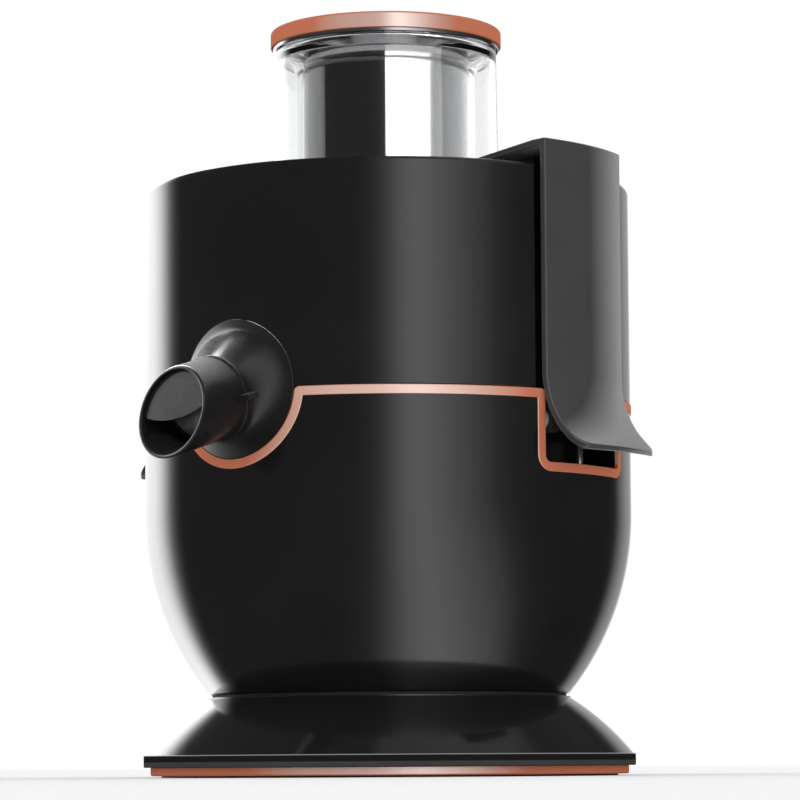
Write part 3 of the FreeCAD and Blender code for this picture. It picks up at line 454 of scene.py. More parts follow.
moulded("lid_smoke", (0.010, 0.010, 0.011), (0.014, 0.014, 0.015), gloss=(0.16, 0.03),
        grain=(900, 0.04))
clear_plastic("collector_clear", (0.30, 0.30, 0.32), rough=0.16, transmission=0.6)
clear_plastic("chute_clear", (0.955, 0.96, 0.96), rough=0.012, transmission=1.0)


# ---------------------------------------------------------------- foot

def foot():
    neck_r, hole_r = 83.8, 69.0             # top of the flare, and the hole in it
    rim_in, rim_floor = 106.0, 5.0
    thick, flare_bend = 2.4, 120.0
    flare_low, flare_high = (FOOT_R - 1.0, FLANGE_TOP), (neck_r, FOOT_TOP - 0.6)
    inner_low, inner_high = (103.0, 13.9), (81.0, FOOT_TOP - thick)
    outline = rounded([(rim_in, FOOT_BOTTOM), (FOOT_R, FOOT_BOTTOM, 0.7),
                       (FOOT_R, FLANGE_TOP, 0.6), flare_low])
    outline += arc(flare_low, flare_high, -flare_bend, 48)
    outline += rounded([flare_high, (neck_r, FOOT_TOP, 0.2), (hole_r, FOOT_TOP),
                        (hole_r, FOOT_TOP - thick), inner_high])
    outline += arc(inner_high, inner_low, flare_bend, 24)
    outline += rounded([inner_low, (inner_low[0], rim_floor), (rim_in, rim_floor)])
    finish_piece(lathe("foot_shell", outline), "base", "gloss_black", LOOKS["foot_black"],
                 "foot_skirt")


def foot_ring():
    ring_low, ring_high = low("foot_trim_ring"), high("foot_trim_ring")
    ring_in = 105.8
    outline = rounded([(ring_in, ring_low.z, 0.3), (ring_high.x, ring_low.z, 0.9),
                       (ring_high.x, ring_high.z, 0.3), (ring_in, ring_high.z)])
    finish_piece(lathe("foot_copper_ring", outline), "base", "copper_trim",
                 LOOKS["copper_trim"], "foot_trim_ring")


# ---------------------------------------------------------------- seam line

def above_seam(drop):
    """Cutters for everything above the seam line lowered by drop."""
    level = SEAM_Z - drop
    half, floor, bend = NOTCH_HALF + drop, NOTCH_FLOOR - drop, NOTCH_CORNER + drop
    sides = (-PAST_SIDES, PAST_SIDES)
    slab = prism("cut_level", rectangle(sides, (level, PAST_TOP)), "x", *sides)
    spout = prism("cut_spout", circle(0, SPOUT_BASE.z, SPOUT_DISC + drop), "y",
                  -PAST_SIDES, -60)
    notch = rounded([(-half, floor, bend), (half, floor, bend), (half, PAST_TOP),
                     (-half, PAST_TOP)], 12)
    notches = prism("cut_notch", notch, "x", *sides)
    return slab, spout, notches


def notch_half(drop, corner):
    """(lateral, z) from the middle of the latch notch floor up to the level line."""
    steps = BEND_STEPS
    half, floor, bend = NOTCH_HALF + drop, NOTCH_FLOOR - drop, NOTCH_CORNER + drop
    points = [(u * (half - bend) / steps, floor) for u in range(steps)]
    for k in range(steps + 1):
        a = math.radians(-90 + 90 * k / steps)
        points.append((half - bend + bend * math.cos(a), floor + bend + bend * math.sin(a)))
    side_top = SEAM_Z - drop - corner
    points += [(half, floor + bend + (side_top - floor - bend) * k / steps)
               for k in range(1, steps)]
    for k in range(steps + 1):
        a = math.radians(180 - 90 * k / steps)
        points.append((half + corner + corner * math.cos(a), side_top + corner * math.sin(a)))
    return points


def spout_half(drop, corner):
    """(lateral, z) from the lowest point of the spout opening up to the level line."""
    steps = 40
    radius = SPOUT_DISC + drop
    side_z = SEAM_Z - drop - corner
    side_x = math.sqrt((radius + corner) ** 2 - (SPOUT_BASE.z - side_z) ** 2)
    reach = math.atan2(side_x, SPOUT_BASE.z - side_z)
    points = [(radius * math.sin(reach * k / steps),
               SPOUT_BASE.z - radius * math.cos(reach * k / steps)) for k in range(steps)]
    inward = math.atan2(SPOUT_BASE.z - side_z, -side_x)
    for k in range(BEND_STEPS + 1):
        a = inward + (math.pi / 2 - inward) * k / BEND_STEPS
        points.append((side_x + corner * math.cos(a), side_z + corner * math.sin(a)))
    return points


def seam_path(drop, corner):
    """The closed seam line as (angle, z), counter-clockwise from the right notch."""
    def both_halves(centre, half):
        turned = [(math.asin(u / BODY_R), z) for u, z in half]
        left = [(centre - a, z) for a, z in reversed(turned[1:])]
        return left + [(centre + a, z) for a, z in turned]
    notch = notch_half(drop, corner)
    features = [both_halves(0, notch), both_halves(math.pi, notch),
                both_halves(1.5 * math.pi, spout_half(drop, corner))]
    level_steps = (96, 40, 40)              # in the level line after each of them
    path = []
    for i, (feature, steps) in enumerate(zip(features, level_steps)):
        path += feature
        angle, z = feature[-1]
        goal = features[(i + 1) % 3][0][0] + (2 * math.pi if i == 2 else 0)
        path += [(angle + (goal - angle) * k / steps, z) for k in range(1, steps)]
    return path


def seam_trim():
    upper, lower = seam_path(0.0, TRIM_CORNER), seam_path(TRIM_BAND, 0.0)
    root_r = BODY_R - 0.1
    # Share of the band's width, from its upper edge, and radius.
    section = [(0.0, LEDGE_R), (0.0, root_r), (0.02, TRIM_R - 0.14), (0.07, TRIM_R - 0.03),
               (0.14, TRIM_R), (0.5, TRIM_R), (0.86, TRIM_R), (0.93, TRIM_R - 0.03),
               (0.98, TRIM_R - 0.14), (1.0, root_r), (1.0, LEDGE_R)]
    rows = []
    for (a0, z0), (a1, z1) in zip(upper, lower):
        row = []
        for share, radius in section:
            angle, z = a0 + (a1 - a0) * share, z0 + (z1 - z0) * share
            row.append((radius * math.cos(angle), radius * math.sin(angle), z))
        rows.append(row)
    finish_piece(skin("seam_band", rows, wrap_rows=True), "base", "copper_trim",
                 LOOKS["copper_trim"], "seam_trim")


# ---------------------------------------------------------------- lower housing

BELLY_TOP = 120.0       # the belly's arc runs upright here
BELLY_R = 131.0
WALL_TOP = 180.0        # past the seam line, which trims the wall


def lower_housing():
    floor_hole_r, ledge_bottom = 44.0, 124.0
    belly_x = BODY_R - BELLY_R
    inner_r = BODY_R - WALL
    foot_r = belly_x + math.sqrt(BELLY_R ** 2 - (BELLY_TOP - HOUSING_BOTTOM) ** 2)
    inside_z = HOUSING_BOTTOM + WALL
    inside_r = belly_x + math.sqrt((BELLY_R - WALL) ** 2 - (BELLY_TOP - inside_z) ** 2)
    belly_start = (foot_r + 0.35, HOUSING_BOTTOM + 0.8)
    outline = rounded([(floor_hole_r, HOUSING_BOTTOM), (foot_r - 0.8, HOUSING_BOTTOM),
                       (foot_r - 0.2, HOUSING_BOTTOM + 0.25), belly_start])
    outline += arc(belly_start, (BODY_R, BELLY_TOP), -BELLY_R, 64)
    outline += rounded([(BODY_R, BELLY_TOP), (BODY_R, WALL_TOP), (inner_r, WALL_TOP),
                        (inner_r, BELLY_TOP)])
    outline += arc((inner_r, BELLY_TOP), (inside_r, inside_z), BELLY_R - WALL, 40)
    outline += rounded([(inside_r, inside_z), (floor_hole_r, inside_z)])
    shell = combine(lathe("housing_shell", outline), *above_seam(TRIM_BAND))
    ledge_out = inner_r + 0.3               # into the wall, so that the two join
    ledge = lathe("ledge", rectangle((ledge_out, LEDGE_R), (ledge_bottom, WALL_TOP)))
    combine(ledge, *above_seam(0.0))
    combine(shell, ledge, operation="UNION")
    knob_hole = prism("cut_knob", circle(0, KNOB_Z, high("knob_bezel").y), "x", -130, -98)
    gland = (low("cable_gland") + high("cable_gland")) / 2
    gland_hole = prism("cut_gland", circle(0, gland.z, 9.0), "y", 80, 120)
    combine(shell, knob_hole, gland_hole)
    finish_piece(shell, "base", "gloss_black", LOOKS["gloss_black"], "lower_housing")


# ---------------------------------------------------------------- bowl

def recess_cutter(side):
    """The latch recess with rounded upright edges where it breaks through the wall."""
    edge = 1.0
    centre_y = RECESS_HALF + edge
    centre_x = math.sqrt((BODY_R - edge) ** 2 - centre_y ** 2)
    out = math.atan2(centre_y, centre_x)
    upper = [(RECESS_FLAT, RECESS_HALF)]
    for k in range(ROUND_STEPS + 1):
        a = -math.pi / 2 + (out + math.pi / 2) * k / ROUND_STEPS
        upper.append((centre_x + edge * math.cos(a), centre_y + edge * math.sin(a)))
    past = 14.0                             # on past the wall
    upper.append((upper[-1][0] + past * math.cos(out), upper[-1][1] + past * math.sin(out)))
    outline = upper + [(x, -y) for x, y in reversed(upper)]
    outline = [(x * side, y) for x, y in outline]
    return prism("cut_recess", outline, "z", 160, 290)


def bowl():
    inner, rim_in, shelf_r = BODY_R - WALL, 107.6, 104.5
    floor_z, shelf_z = BOWL_BOTTOM + WALL, 262.0
    hole_r, collar_r, collar_top = 26.0, 28.8, 186.0
    outline = rounded([
        (hole_r, BOWL_BOTTOM), (BODY_R, BOWL_BOTTOM, 0.5), (BODY_R, RIM_Z, 3.0),
        (rim_in, RIM_Z, 0.6), (rim_in, shelf_z), (shelf_r, shelf_z), (shelf_r, shelf_z - 2),
        (inner, shelf_z - 7), (inner, floor_z), (collar_r, floor_z), (collar_r, collar_top),
        (hole_r, collar_top)], 8)
    shell = lathe("bowl_shell", outline)
    spout = prism("cut_collar", circle(0, SPOUT_BASE.z, SPOUT_DISC), "y",
                  -PAST_SIDES, -SPOUT_DEPTH)
    combine(shell, recess_cutter(1), recess_cutter(-1), spout)
    walls_in, walls_out, walls_half = 60.0, BODY_R - 0.3, RECESS_HALF + WALL
    walls_low, walls_high = BOWL_BOTTOM + 0.1, RIM_Z - 0.15
    for side in (1, -1):
        block = rounded([(walls_in, walls_low), (walls_out, walls_low),
                         (walls_out, walls_high, 3.0), (walls_in, walls_high)])
        walls = lathe("recess_walls", block)
        keep = prism("keep", rectangle((side * (RECESS_FLAT - WALL), side * 120),
                                       (-walls_half, walls_half)), "z", 150, 300)
        combine(walls, keep, operation="INTERSECT")
        combine(walls, recess_cutter(side))
        combine(shell, walls, operation="UNION")
    finish_piece(shell, "base", "gloss_black", LOOKS["gloss_black"], "upper_bowl")


# ---------------------------------------------------------------- spout

ACROSS = Vector((1, 0, 0))
UPRIGHT = SPOUT_AXIS.cross(ACROSS)          # square to the spout, pointing up


def on_spout(along, radius, angle):
    """A point round the spout; angle 0 is along +X and 90 degrees is on top."""
    return (SPOUT_BASE + SPOUT_AXIS * along
            + (ACROSS * math.cos(angle) + UPRIGHT * math.sin(angle)) * radius)


def spout_collar():
    """The saddle-shaped disc, its trumpet and the fixed tube as one skin."""
    angles = around(144)
    disc_r, tube_outer, tube_inner, tube_end = 30.7, 16.4, 14.4, 32.0
    flare_end = (17.4, 15.6)
    flare = bezier([(disc_r, 0.2), (25.6, 3.4), (18.2, 9.4), flare_end], 28)
    full_tilt, tilted_from = math.atan2(-SPOUT_AXIS.z, -SPOUT_AXIS.y), 14.0
    sunk, soft = 0.02, 1.2                  # how the flare runs into the wall of the body

    def flat_ring(radius, y):
        return [(radius * math.cos(a), y, SPOUT_BASE.z + radius * math.sin(a)) for a in angles]

    def saddle_ring(radius, lift):
        return [(x, -math.sqrt((BODY_R + lift) ** 2 - x ** 2), z)
                for x, _, z in flat_ring(radius, 0)]

    def flare_ring(radius, along):
        """A ring that tilts towards the spout's axis, pushed out of the body where it dips in."""
        tilt = full_tilt * min(1.0, along / tilted_from) ** 1.2
        centre = SPOUT_BASE + Vector((0, -along * math.cos(tilt), -along * math.sin(tilt)))
        ring = []
        for a in angles:
            x = radius * math.cos(a)
            y = centre.y - radius * math.sin(a) * math.sin(tilt)
            z = centre.z + radius * math.sin(a) * math.cos(tilt)
            body_y = -math.sqrt(BODY_R ** 2 - x ** 2) - sunk
            gap = y - body_y
            ring.append((x, body_y + 0.5 * (gap - math.sqrt(gap * gap + soft * soft)), z))
        return ring

    rows = [flat_ring(tube_inner, -SPOUT_DEPTH), flat_ring(disc_r, -SPOUT_DEPTH),
            saddle_ring(disc_r, -0.35), saddle_ring(30.6, -0.1), saddle_ring(30.35, 0.0)]
    rows += [flare_ring(point.x, point.y) for point in flare]
    tube = [flare_end, (17.35, 15.9), (17.1, 16.1), (tube_outer, 16.15),
            (tube_outer, tube_end - 0.5), (tube_outer - 0.5, tube_end),
            (tube_inner + 0.5, tube_end), (tube_inner, tube_end - 0.5), (tube_inner, 4.0)]
    rows += [[on_spout(along, radius, a) for a in angles] for radius, along in tube]
    finish_piece(skin("spout_trumpet", rows, wrap_rows=True), "base", "satin_black",
                 LOOKS["spout_black"], "spout_collar")


SLEEVE_OUT = 18.5
SLEEVE_IN = 16.9
SLEEVE_START = 17.0
MOUTH_CENTRE = 48.0     # along the spout
MOUTH_LEAN = math.radians(13)


def mouth_at(radius, angle):
    """How far along the spout the leaning mouth plane lies at a point round it."""
    facing = Vector((0, -math.cos(MOUTH_LEAN), math.sin(MOUTH_LEAN)))
    return MOUTH_CENTRE - radius * math.sin(angle) * UPRIGHT.dot(facing) / SPOUT_AXIS.dot(facing)


def nozzle():
    """The sleeve with a raised band at its start and a rounded, leaning mouth."""
    band = SLEEVE_OUT + 0.6
    start = [(0.0, SLEEVE_IN), (0.0, band - 0.35), (0.1, band - 0.1), (0.35, band),
             (1.25, band), (1.5, band - 0.1), (1.65, SLEEVE_OUT + 0.15), (1.9, SLEEVE_OUT)]
    lip = [(0.9, SLEEVE_OUT), (0.45, SLEEVE_OUT - 0.06), (0.12, SLEEVE_OUT - 0.25),
           (0.0, SLEEVE_OUT - 0.55), (0.0, SLEEVE_IN + 0.55), (0.12, SLEEVE_IN + 0.25),
           (0.45, SLEEVE_IN + 0.06), (0.9, SLEEVE_IN)]
    rows = []
    for a in around(160):
        row = [on_spout(SLEEVE_START + along, radius, a) for along, radius in start]
        row += [on_spout(mouth_at(radius, a) - back, radius, a) for back, radius in lip]
        rows.append(row)
    finish_piece(skin("nozzle_tube", rows, wrap_rows=True), "nozzle", "satin_black",
                 LOOKS["spout_black"], "nozzle_sleeve")


def baffle():
    """The plate inside the mouth; its lower edge sags in the middle and leaves the outlet open."""
    plate_r, edge_bend, steps = SLEEVE_IN - 0.12, 42.0, 72
    edge_left, edge_right = math.radians(185.5), math.radians(6.5)
    rim_angles = [edge_right + (edge_left - edge_right) * k / steps for k in range(steps + 1)]
    points = [(plate_r * math.cos(a), plate_r * math.sin(a)) for a in rim_angles]
    first, last = Vector(points[-1]), Vector(points[0])
    points += [tuple(p) for p in arc(first, last, -edge_bend, 24)]
    rows = []
    for back, shrink in ((4.6, 0.0), (2.2, 0.0), (2.05, 0.06), (2.0, 0.2)):
        row = []
        for u, v in points:
            radius, angle = math.hypot(u, v), math.atan2(v, u)
            row.append(on_spout(mouth_at(radius, angle) - back, radius - shrink, angle))
        rows.append(row)
    finish_piece(skin("baffle_plate", rows, caps=True), "nozzle", "satin_black",
                 LOOKS["spout_black"], "nozzle_baffle")


# ---------------------------------------------------------------- chute and pusher

def chute():
    mouth_r, channel_r, wall = 51.7, 39.5, 2.0
    funnel_top, funnel_bottom = CHUTE_TOP - 3.4, CHUTE_TOP - 9.6
    outline = rounded([
        (CHUTE_FOOT_R, CHUTE_FOOT_Z), (mouth_r, CHUTE_TOP, 0.8), (mouth_r - 2.2, CHUTE_TOP, 0.5),
        (channel_r, funnel_bottom + 1.0, 5.0), (channel_r, CHANNEL_BOTTOM, 0.6),
        (channel_r + wall, CHANNEL_BOTTOM, 0.6), (channel_r + wall, funnel_bottom, 5.0),
        (mouth_r - 2.6, funnel_top, 1.2), (CHUTE_FOOT_R - 2.4, CHUTE_FOOT_Z)])
    finish_piece(lathe("chute_walls", outline), "base", "chute_clear", LOOKS["chute_clear"],
                 "feed_chute")


CAP_PLATE_R = 50.4      # where the plate meets the ring


def pusher():
    outer_r, collar_r, collar_in, collar_z = 38.5, 53.0, 34.0, CHUTE_TOP + 0.4
    inner_r, inner_floor = outer_r - 2.5, PUSHER_BOTTOM + 3
    outline = rounded([
        (0.0, PUSHER_BOTTOM), (outer_r, PUSHER_BOTTOM, 1.5), (outer_r, collar_z, 0.8),
        (collar_r, collar_z, 0.4), (collar_r, CAP_BOTTOM), (collar_in, CAP_BOTTOM),
        (collar_in, CHUTE_TOP - 8.0), (inner_r, CHUTE_TOP - 10.0), (inner_r, inner_floor),
        (0.0, inner_floor)])
    finish_piece(lathe("pusher_tube", outline), "pusher", "satin_black", LOOKS["pusher_black"],
                 "pusher_body")


def cap_ring():
    ring_top = high("pusher_cap_ring").z
    outline = rounded([(CAP_PLATE_R, CAP_BOTTOM), (CAP_R, CAP_BOTTOM, 0.6),
                       (CAP_R, ring_top, 1.3), (CAP_PLATE_R, ring_top)])
    finish_piece(lathe("cap_copper_ring", outline), "pusher", "copper_trim",
                 LOOKS["cap_copper"], "pusher_cap_ring")


def cap_plate():
    """A dished plate with a raised rim."""
    underside, dish = CAP_TOP - 4, CAP_TOP - 1.4
    outline = rounded([
        (0.0, underside), (45.0, underside), (45.0, CAP_BOTTOM), (CAP_PLATE_R, CAP_BOTTOM),
        (CAP_PLATE_R, CAP_TOP, 0.7), (46.0, CAP_TOP, 0.5), (44.0, dish, 0.5), (0.0, dish)])
    finish_piece(lathe("cap_plate", outline), "pusher", "satin_black", LOOKS["cap_black"],
                 "pusher_cap_top")


# ---------------------------------------------------------------- latches

LATCH_R = 115.0
LATCH_SKIN = 2.8
FLARE_START = 178.0     # the cover bends outwards below this height
FLARE_R = 40.0
FLARE_SWEEP = math.radians(57)
EDGE_ROUND = 0.8
LIP_CORNER = 8.0
HOOK_TIP = 70.0         # how far in the plate on top of the cover reaches
HOOK_ROOT = 112.0


def latch_outline():
    """Cross-section of the cover: outer face, lip, inner face and the hook plate on top."""
    swing_x = FLARE_R * (1 - math.cos(FLARE_SWEEP))
    swing_z = FLARE_R * math.sin(FLARE_SWEEP)
    inner_r = FLARE_R + LATCH_SKIN
    inner_x = inner_r * (1 - math.cos(FLARE_SWEEP))
    inner_z = inner_r * math.sin(FLARE_SWEEP)
    inside = LATCH_R - LATCH_SKIN
    outer_start = (LATCH_R, FLARE_START)
    outer_lip = (LATCH_R + swing_x, FLARE_START - swing_z)
    inner_lip = (inside + inner_x, FLARE_START - inner_z)
    inner_end = (inside, FLARE_START)
    points = [Vector((LATCH_R, LATCH_TOP - 30.0)), Vector(outer_start)]
    points += arc(outer_start, outer_lip, -FLARE_R, 18)
    lip_out, lip_in = Vector(outer_lip), Vector(inner_lip)
    along = Vector((math.sin(FLARE_SWEEP), -math.cos(FLARE_SWEEP)))
    points += rounded([lip_out - along * 3, (*lip_out, 0.9), (*lip_in, 0.9),
                       lip_in - along * 3])[1:-1]
    points += arc(inner_lip, inner_end, inner_r, 18)
    points += [Vector(inner_end), Vector((inside, LATCH_TOP - 30.0))]
    points += rounded([(inside, LATCH_TOP - 20), (inside, LATCH_TOP - 3.4, 1.5),
                       (78.0, LATCH_TOP - 7.8, 6.0), (HOOK_TIP, LATCH_TOP - 8.6, 0.9),
                       (69.2, LATCH_TOP - 6.4, 0.6), (78.0, LATCH_TOP - 4.8, 6.0),
                       (108.0, LATCH_TOP - 0.4, 6.0), (LATCH_R, LATCH_TOP, 0.8),
                       (LATCH_R, LATCH_TOP - 20)])[1:-1]
    return points


def inset(outline, distance):
    """The outline moved towards its inside by a distance."""
    count = len(outline)
    area = sum(outline[i - 1].cross(outline[i]) for i in range(count))
    sign = 1 if area > 0 else -1
    moved = []
    for i in range(count):
        before = (outline[i] - outline[i - 1]).normalized()
        after = (outline[(i + 1) % count] - outline[i]).normalized()
        way = (before + after).normalized()
        normal = Vector((-way.y, way.x)) * sign
        moved.append(outline[i] + normal * distance / max(0.5, normal.dot(
            Vector((-before.y, before.x)) * sign)))
    return moved


def latch_cover(side):
    """The cover as rows across it, bent to the body's curve and rounded at its edges."""
    outline = latch_outline()
    lip_r = max(p.x for p in outline)
    edge = []                               # (lateral, inset) round one upright edge
    for k in range(ROUND_STEPS + 1):
        a = math.pi / 2 * (1 - k / ROUND_STEPS)
        edge.append((LATCH_HALF - EDGE_ROUND + EDGE_ROUND * math.sin(a),
                     EDGE_ROUND * (1 - math.cos(a))))
    steps, flat = 28, LATCH_HALF - EDGE_ROUND
    stations = edge + [(flat * (1 - 2 * k / steps), 0.0) for k in range(1, steps)]
    stations += [(-y, d) for y, d in reversed(edge)]
    rows = []
    for y, depth in stations:
        row = []
        for point in inset(outline, depth):
            r, z = point
            from_lip = (lip_r - r) / math.sin(FLARE_SWEEP) if z < FLARE_START else LIP_CORNER
            short = max(0.0, LIP_CORNER - from_lip)
            width = LATCH_HALF - LIP_CORNER + math.sqrt(max(0.0, LIP_CORNER ** 2 - short ** 2))
            across = y * width / LATCH_HALF
            curve_r = max(r, HOOK_ROOT)
            share = min(1.0, max(0.0, (r - HOOK_TIP) / (HOOK_ROOT - HOOK_TIP)))
            sag = (curve_r - math.sqrt(curve_r ** 2 - across ** 2)) * share
            row.append((side * (r - sag), side * across, z))
        rows.append(row)
    name = "right" if side > 0 else "left"
    finish_piece(skin(f"latch_{name}_shell", rows, caps=True), f"latch_{name}", "latch_satin",
                 LOOKS["latch_satin"], f"latch_{name}_cover")


# ---------------------------------------------------------------- carried-over CAD nodes

def smooth_group():
    """Geometry nodes that weld a CAD mesh and shade it smooth up to the SHARP angle."""
    group = bpy.data.node_groups.new("smooth_by_angle", "GeometryNodeTree")
    group.interface.new_socket("Geometry", in_out="INPUT", socket_type="NodeSocketGeometry")
    group.interface.new_socket("Geometry", in_out="OUTPUT", socket_type="NodeSocketGeometry")
    start = add(group, "NodeGroupInput")
    weld = add(group, "GeometryNodeMergeByDistance", {"Geometry": start.outputs[0],
                                                      "Distance": 2e-6})
    faces = add(group, "GeometryNodeSetShadeSmooth", {"Geometry": weld.outputs[0],
                                                      "Shade Smooth": True}, domain="FACE")
    bend = add(group, "GeometryNodeInputMeshEdgeAngle")
    sharp = add(group, "FunctionNodeCompare", {0: bend.outputs["Unsigned Angle"], 1: SHARP},
                data_type="FLOAT", operation="GREATER_THAN")
    edges = add(group, "GeometryNodeSetShadeSmooth", {"Geometry": faces.outputs[0],
                                                      "Selection": sharp.outputs[0],
                                                      "Shade Smooth": False}, domain="EDGE")
    end = add(group, "NodeGroupOutput")
    group.links.new(edges.outputs[0], end.inputs[0])
    return group


def dress_nodes():
    """Every CAD node that still shows gets its slot's material and smooth shading."""
    slots = {s["node"]: s["material_slot"] for s in frame["record"]["subparts"]}
    group = smooth_group()
    for name, thing in frame["nodes"].items():
        thing.data.materials.clear()
        thing.data.materials.append(LOOKS[slots[name]])
        smooth = thing.modifiers.new("smooth_by_angle", "NODES")
        smooth.node_group = group


foot()
foot_ring()
seam_trim()
lower_housing()
bowl()
spout_collar()
nozzle()
baffle()
chute()
pusher()
cap_ring()
cap_plate()
latch_cover(1)
latch_cover(-1)
dress_nodes()


# ---------------------------------------------------------------- floor, light and camera

CAMERA_AZIMUTH = math.radians(37.3)
CAMERA_DISTANCE = 1.6875
CAMERA_HEIGHT = 0.0052
CAMERA_PITCH = math.radians(5.72)
CAMERA_YAW = math.radians(0.193)
CAMERA_ROLL = math.radians(-0.35)
CAMERA_LENS = 164.0


def floor():
    """White paper under the object, which nothing mirrors."""
    made = bmesh.new()
    bmesh.ops.create_grid(made, x_segments=40, y_segments=40, size=4000)
    ground = piece("floor", made)
    material, tree, shader = start_material("floor_paper")
    cloud = noise(tree, scale=3.0, detail=3.0)
    tree.links.new(blend_colour(tree, cloud.outputs[0], (0.955, 0.955, 0.955), (0.97, 0.97, 0.97)),
                   shader.inputs["Base Color"])
    shader.inputs["Roughness"].default_value = 0.9
    ground.data.materials.append(material)
    ground.visible_glossy = False


# Brightness of the studio round the object: (place, level).  A place is in degrees and is twice
# the heading, from the camera's, of the surface that mirrors it.
STUDIO = ((-180, 1.4), (-164, 1.75), (-152, 2.7), (-146, 3.4), (-141, 3.7), (-135, 3.65),
          (-129, 2.4), (-124, 0.9), (-119, 0.25), (-114, 0.08), (-98, 0.10), (-17, 0.14),
          (-8, 0.24), (-3.5, 0.5), (1, 1.0), (5.6, 1.7), (10, 2.1), (15, 2.27), (19.4, 2.05),
          (24, 1.78), (33.5, 1.27), (43, 0.78), (53, 0.32), (64, 0.155), (88, 0.08),
          (130, 0.04), (135, 0.08), (142, 0.51), (151, 0.75), (162, 0.6), (180, 1.4))
# The same for surfaces that slope upwards, where the light is weaker and reaches further right.
SLOPE = ((-180, 0.08), (-8, 0.08), (-5, 0.40), (30, 0.50), (62, 0.42), (76, 0.08), (180, 0.08))
# The same for what is mirrored behind the clear chute, where the boxes have hard edges.
BEHIND_CLEAR = ((-180, 1.4), (-154, 1.05), (-91, 0.55), (-90, 0.04), (-1, 0.04), (0, 4.8),
                (61, 4.8), (62, 0.7), (115, 1.25), (133, 1.7), (180, 1.7))


SLOPE_FROM = 0.55               # upward slope past which SLOPE takes over from STUDIO
SLOPE_SOFT = 0.06
SLOPE_ENDS = (0.97, 1.08)       # headings in radians over which SLOPE gives way again
SPREAD_ENDS = (0.45, 0.9)       # headings in radians over which the downward spread fades


def level_by_angle(tree, share, levels):
    """The level of a profile at a share of the way from its first place to its last."""
    brightest = max(level for place, level in levels)
    ramp = add(tree, "ShaderNodeValToRGB", {0: share})
    stops = ramp.color_ramp.elements
    while len(stops) < len(levels):
        stops.new(0.5)
    for stop, (place, level) in zip(stops, levels):
        stop.position = (place + 180) / 360
        stop.color = (*[level / brightest] * 3, 1)
    return calc(tree, "MULTIPLY", ramp.outputs[0], brightest)


def studio():
    """Even white light, and for reflections upright soft boxes set round the object.

    The boxes are placed by the heading of the surface that mirrors them, which is half-way
    between the ray and the way to the camera, so that they show as straight upright bands.
    """
    world = bpy.data.worlds.new("studio")
    world.use_nodes = True
    bpy.context.scene.world = world
    tree = world.node_tree
    tree.nodes.clear()
    to_camera = Vector((math.sin(CAMERA_AZIMUTH), -math.cos(CAMERA_AZIMUTH), 0))
    right = Vector((math.cos(CAMERA_AZIMUTH), math.sin(CAMERA_AZIMUTH), 0))
    ray = add(tree, "ShaderNodeTexCoord").outputs["Generated"]

    # The mirroring surface: which way it faces, level and up or down.
    back = add(tree, "ShaderNodeVectorMath", {0: ray, 1: to_camera}, operation="DOT_PRODUCT")
    back = calc(tree, "ADD", back.outputs["Value"], math.cos(CAMERA_PITCH))
    side = add(tree, "ShaderNodeVectorMath", {0: ray, 1: right}, operation="DOT_PRODUCT")
    side = side.outputs["Value"]
    height = add(tree, "ShaderNodeSeparateXYZ", {"Vector": ray}).outputs["Z"]
    drop = calc(tree, "SUBTRACT", math.sin(CAMERA_PITCH), height)
    heading = calc(tree, "ARCTAN2", side, back)
    off_front = calc(tree, "ABSOLUTE", heading)
    flat = add(tree, "ShaderNodeCombineXYZ", {"X": side, "Y": back}).outputs[0]
    reach = add(tree, "ShaderNodeVectorMath", {0: flat}, operation="LENGTH").outputs["Value"]

    # Where a surface near the front slopes downwards, the bands spread apart.
    slope = calc(tree, "DIVIDE", drop, reach, clamp=True)
    near_front = spread(tree, off_front, *SPREAD_ENDS, 1.0, 0.0)
    apart = mix(tree, near_front, 1.0, calc(tree, "ADD", slope, 1.0))
    heading = calc(tree, "DIVIDE", heading, apart)
    share = spread(tree, heading, -math.pi / 2, math.pi / 2)

    rise = calc(tree, "MULTIPLY", reach, SLOPE_FROM)
    upward = spread(tree, calc(tree, "ADD", drop, rise), 0.0, -SLOPE_SOFT)
    on_slope = calc(tree, "MULTIPLY", upward, spread(tree, off_front, *SLOPE_ENDS, 1.0, 0.0))
    open_air = mix(tree, on_slope, level_by_angle(tree, share, STUDIO),
                   level_by_angle(tree, share, SLOPE))
    rays = add(tree, "ShaderNodeLightPath").outputs
    behind_clear = calc(tree, "GREATER_THAN", rays["Transmission Depth"], 0.5)
    mirrored = mix(tree, behind_clear, open_air, level_by_angle(tree, share, BEHIND_CLEAR))
    shiny = calc(tree, "GREATER_THAN", rays["Glossy Depth"], 0.5)
    matt = calc(tree, "GREATER_THAN", rays["Diffuse Depth"], 0.5)
    by_mirror = calc(tree, "SUBTRACT", shiny, matt, clamp=True)
    level = mix(tree, by_mirror, 1.0, mirrored)
    sky = add(tree, "ShaderNodeBackground", {"Color": (1, 1, 1, 1), "Strength": level})
    out = add(tree, "ShaderNodeOutputWorld")
    tree.links.new(sky.outputs[0], out.inputs["Surface"])


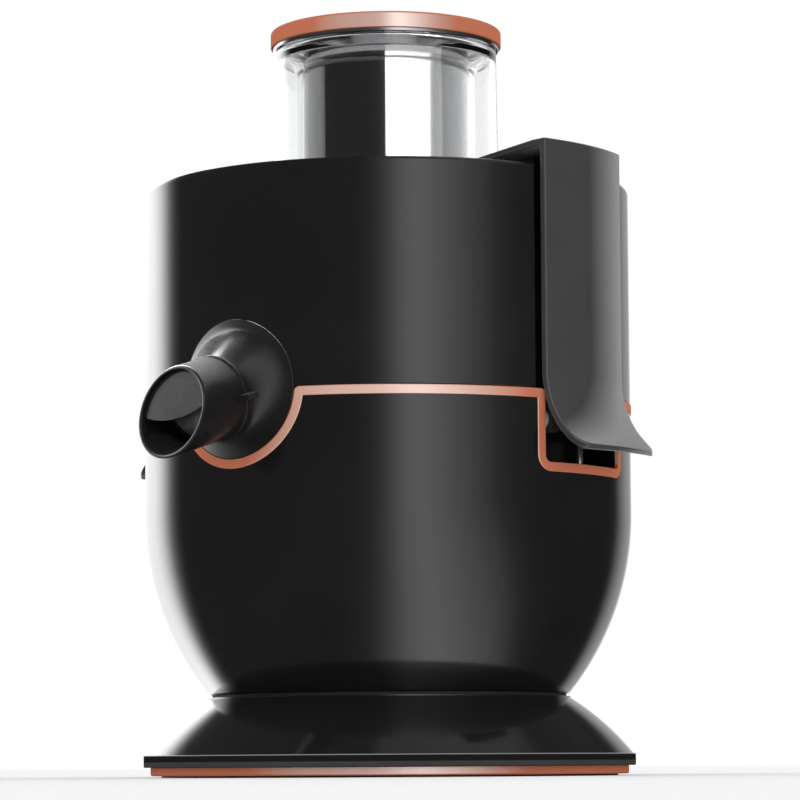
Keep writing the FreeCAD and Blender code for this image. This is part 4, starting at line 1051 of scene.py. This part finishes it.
def soft_lamp(name, at, aim, size, energy, lit):
    """A soft lamp that lights some pieces only, and that only they can shade.

    at and aim are metres to the camera's right, towards the camera and up.
    """
    def place(right, near, up):
        return Matrix.Rotation(CAMERA_AZIMUTH, 3, "Z") @ Vector((right, -near, up))
    data = bpy.data.lights.new(name, "AREA")
    data.shape = "RECTANGLE"
    data.size, data.size_y = size
    data.energy = energy
    lamp = bpy.data.objects.new(name, data)
    bpy.context.scene.collection.objects.link(lamp)
    lamp.location = place(*at)
    away = place(*at) - place(*aim)
    lamp.rotation_euler = away.to_track_quat("Z", "Y").to_euler()
    pieces = bpy.data.collections.new(name)
    for piece_name in lit:
        pieces.objects.link(bpy.data.objects[piece_name])
    lamp.light_linking.receiver_collection = pieces
    lamp.light_linking.blocker_collection = pieces


def lamps():
    """The spout's own soft lamps: one from the left and a stronger one from behind."""
    spout = ("spout_trumpet", "nozzle_tube", "baffle_plate", "nozzle_lever")
    middle = (-0.08, 0.10, 0.17)
    soft_lamp("spout_side", at=(-1.00, -0.22, 0.62), aim=middle, size=(0.8, 1.0), energy=18.0,
              lit=spout)
    soft_lamp("spout_back", at=(0.06, -0.70, 0.97), aim=middle, size=(1.2, 1.0), energy=95.0,
              lit=spout)


def camera():
    data = bpy.data.cameras.new("camera")
    data.lens = CAMERA_LENS
    data.clip_start, data.clip_end = 0.05, 50
    view = bpy.data.objects.new("camera", data)
    bpy.context.scene.collection.objects.link(view)
    view.location = (CAMERA_DISTANCE * math.sin(CAMERA_AZIMUTH),
                     -CAMERA_DISTANCE * math.cos(CAMERA_AZIMUTH), CAMERA_HEIGHT)
    turned = (Matrix.Rotation(CAMERA_AZIMUTH - CAMERA_YAW, 3, "Z")
              @ Matrix.Rotation(math.pi / 2 + CAMERA_PITCH, 3, "X")
              @ Matrix.Rotation(CAMERA_ROLL, 3, "Z"))
    view.rotation_euler = turned.to_euler()
    bpy.context.scene.camera = view


floor()
studio()
lamps()
camera()
bpy.context.scene.view_settings.view_transform = "Standard"
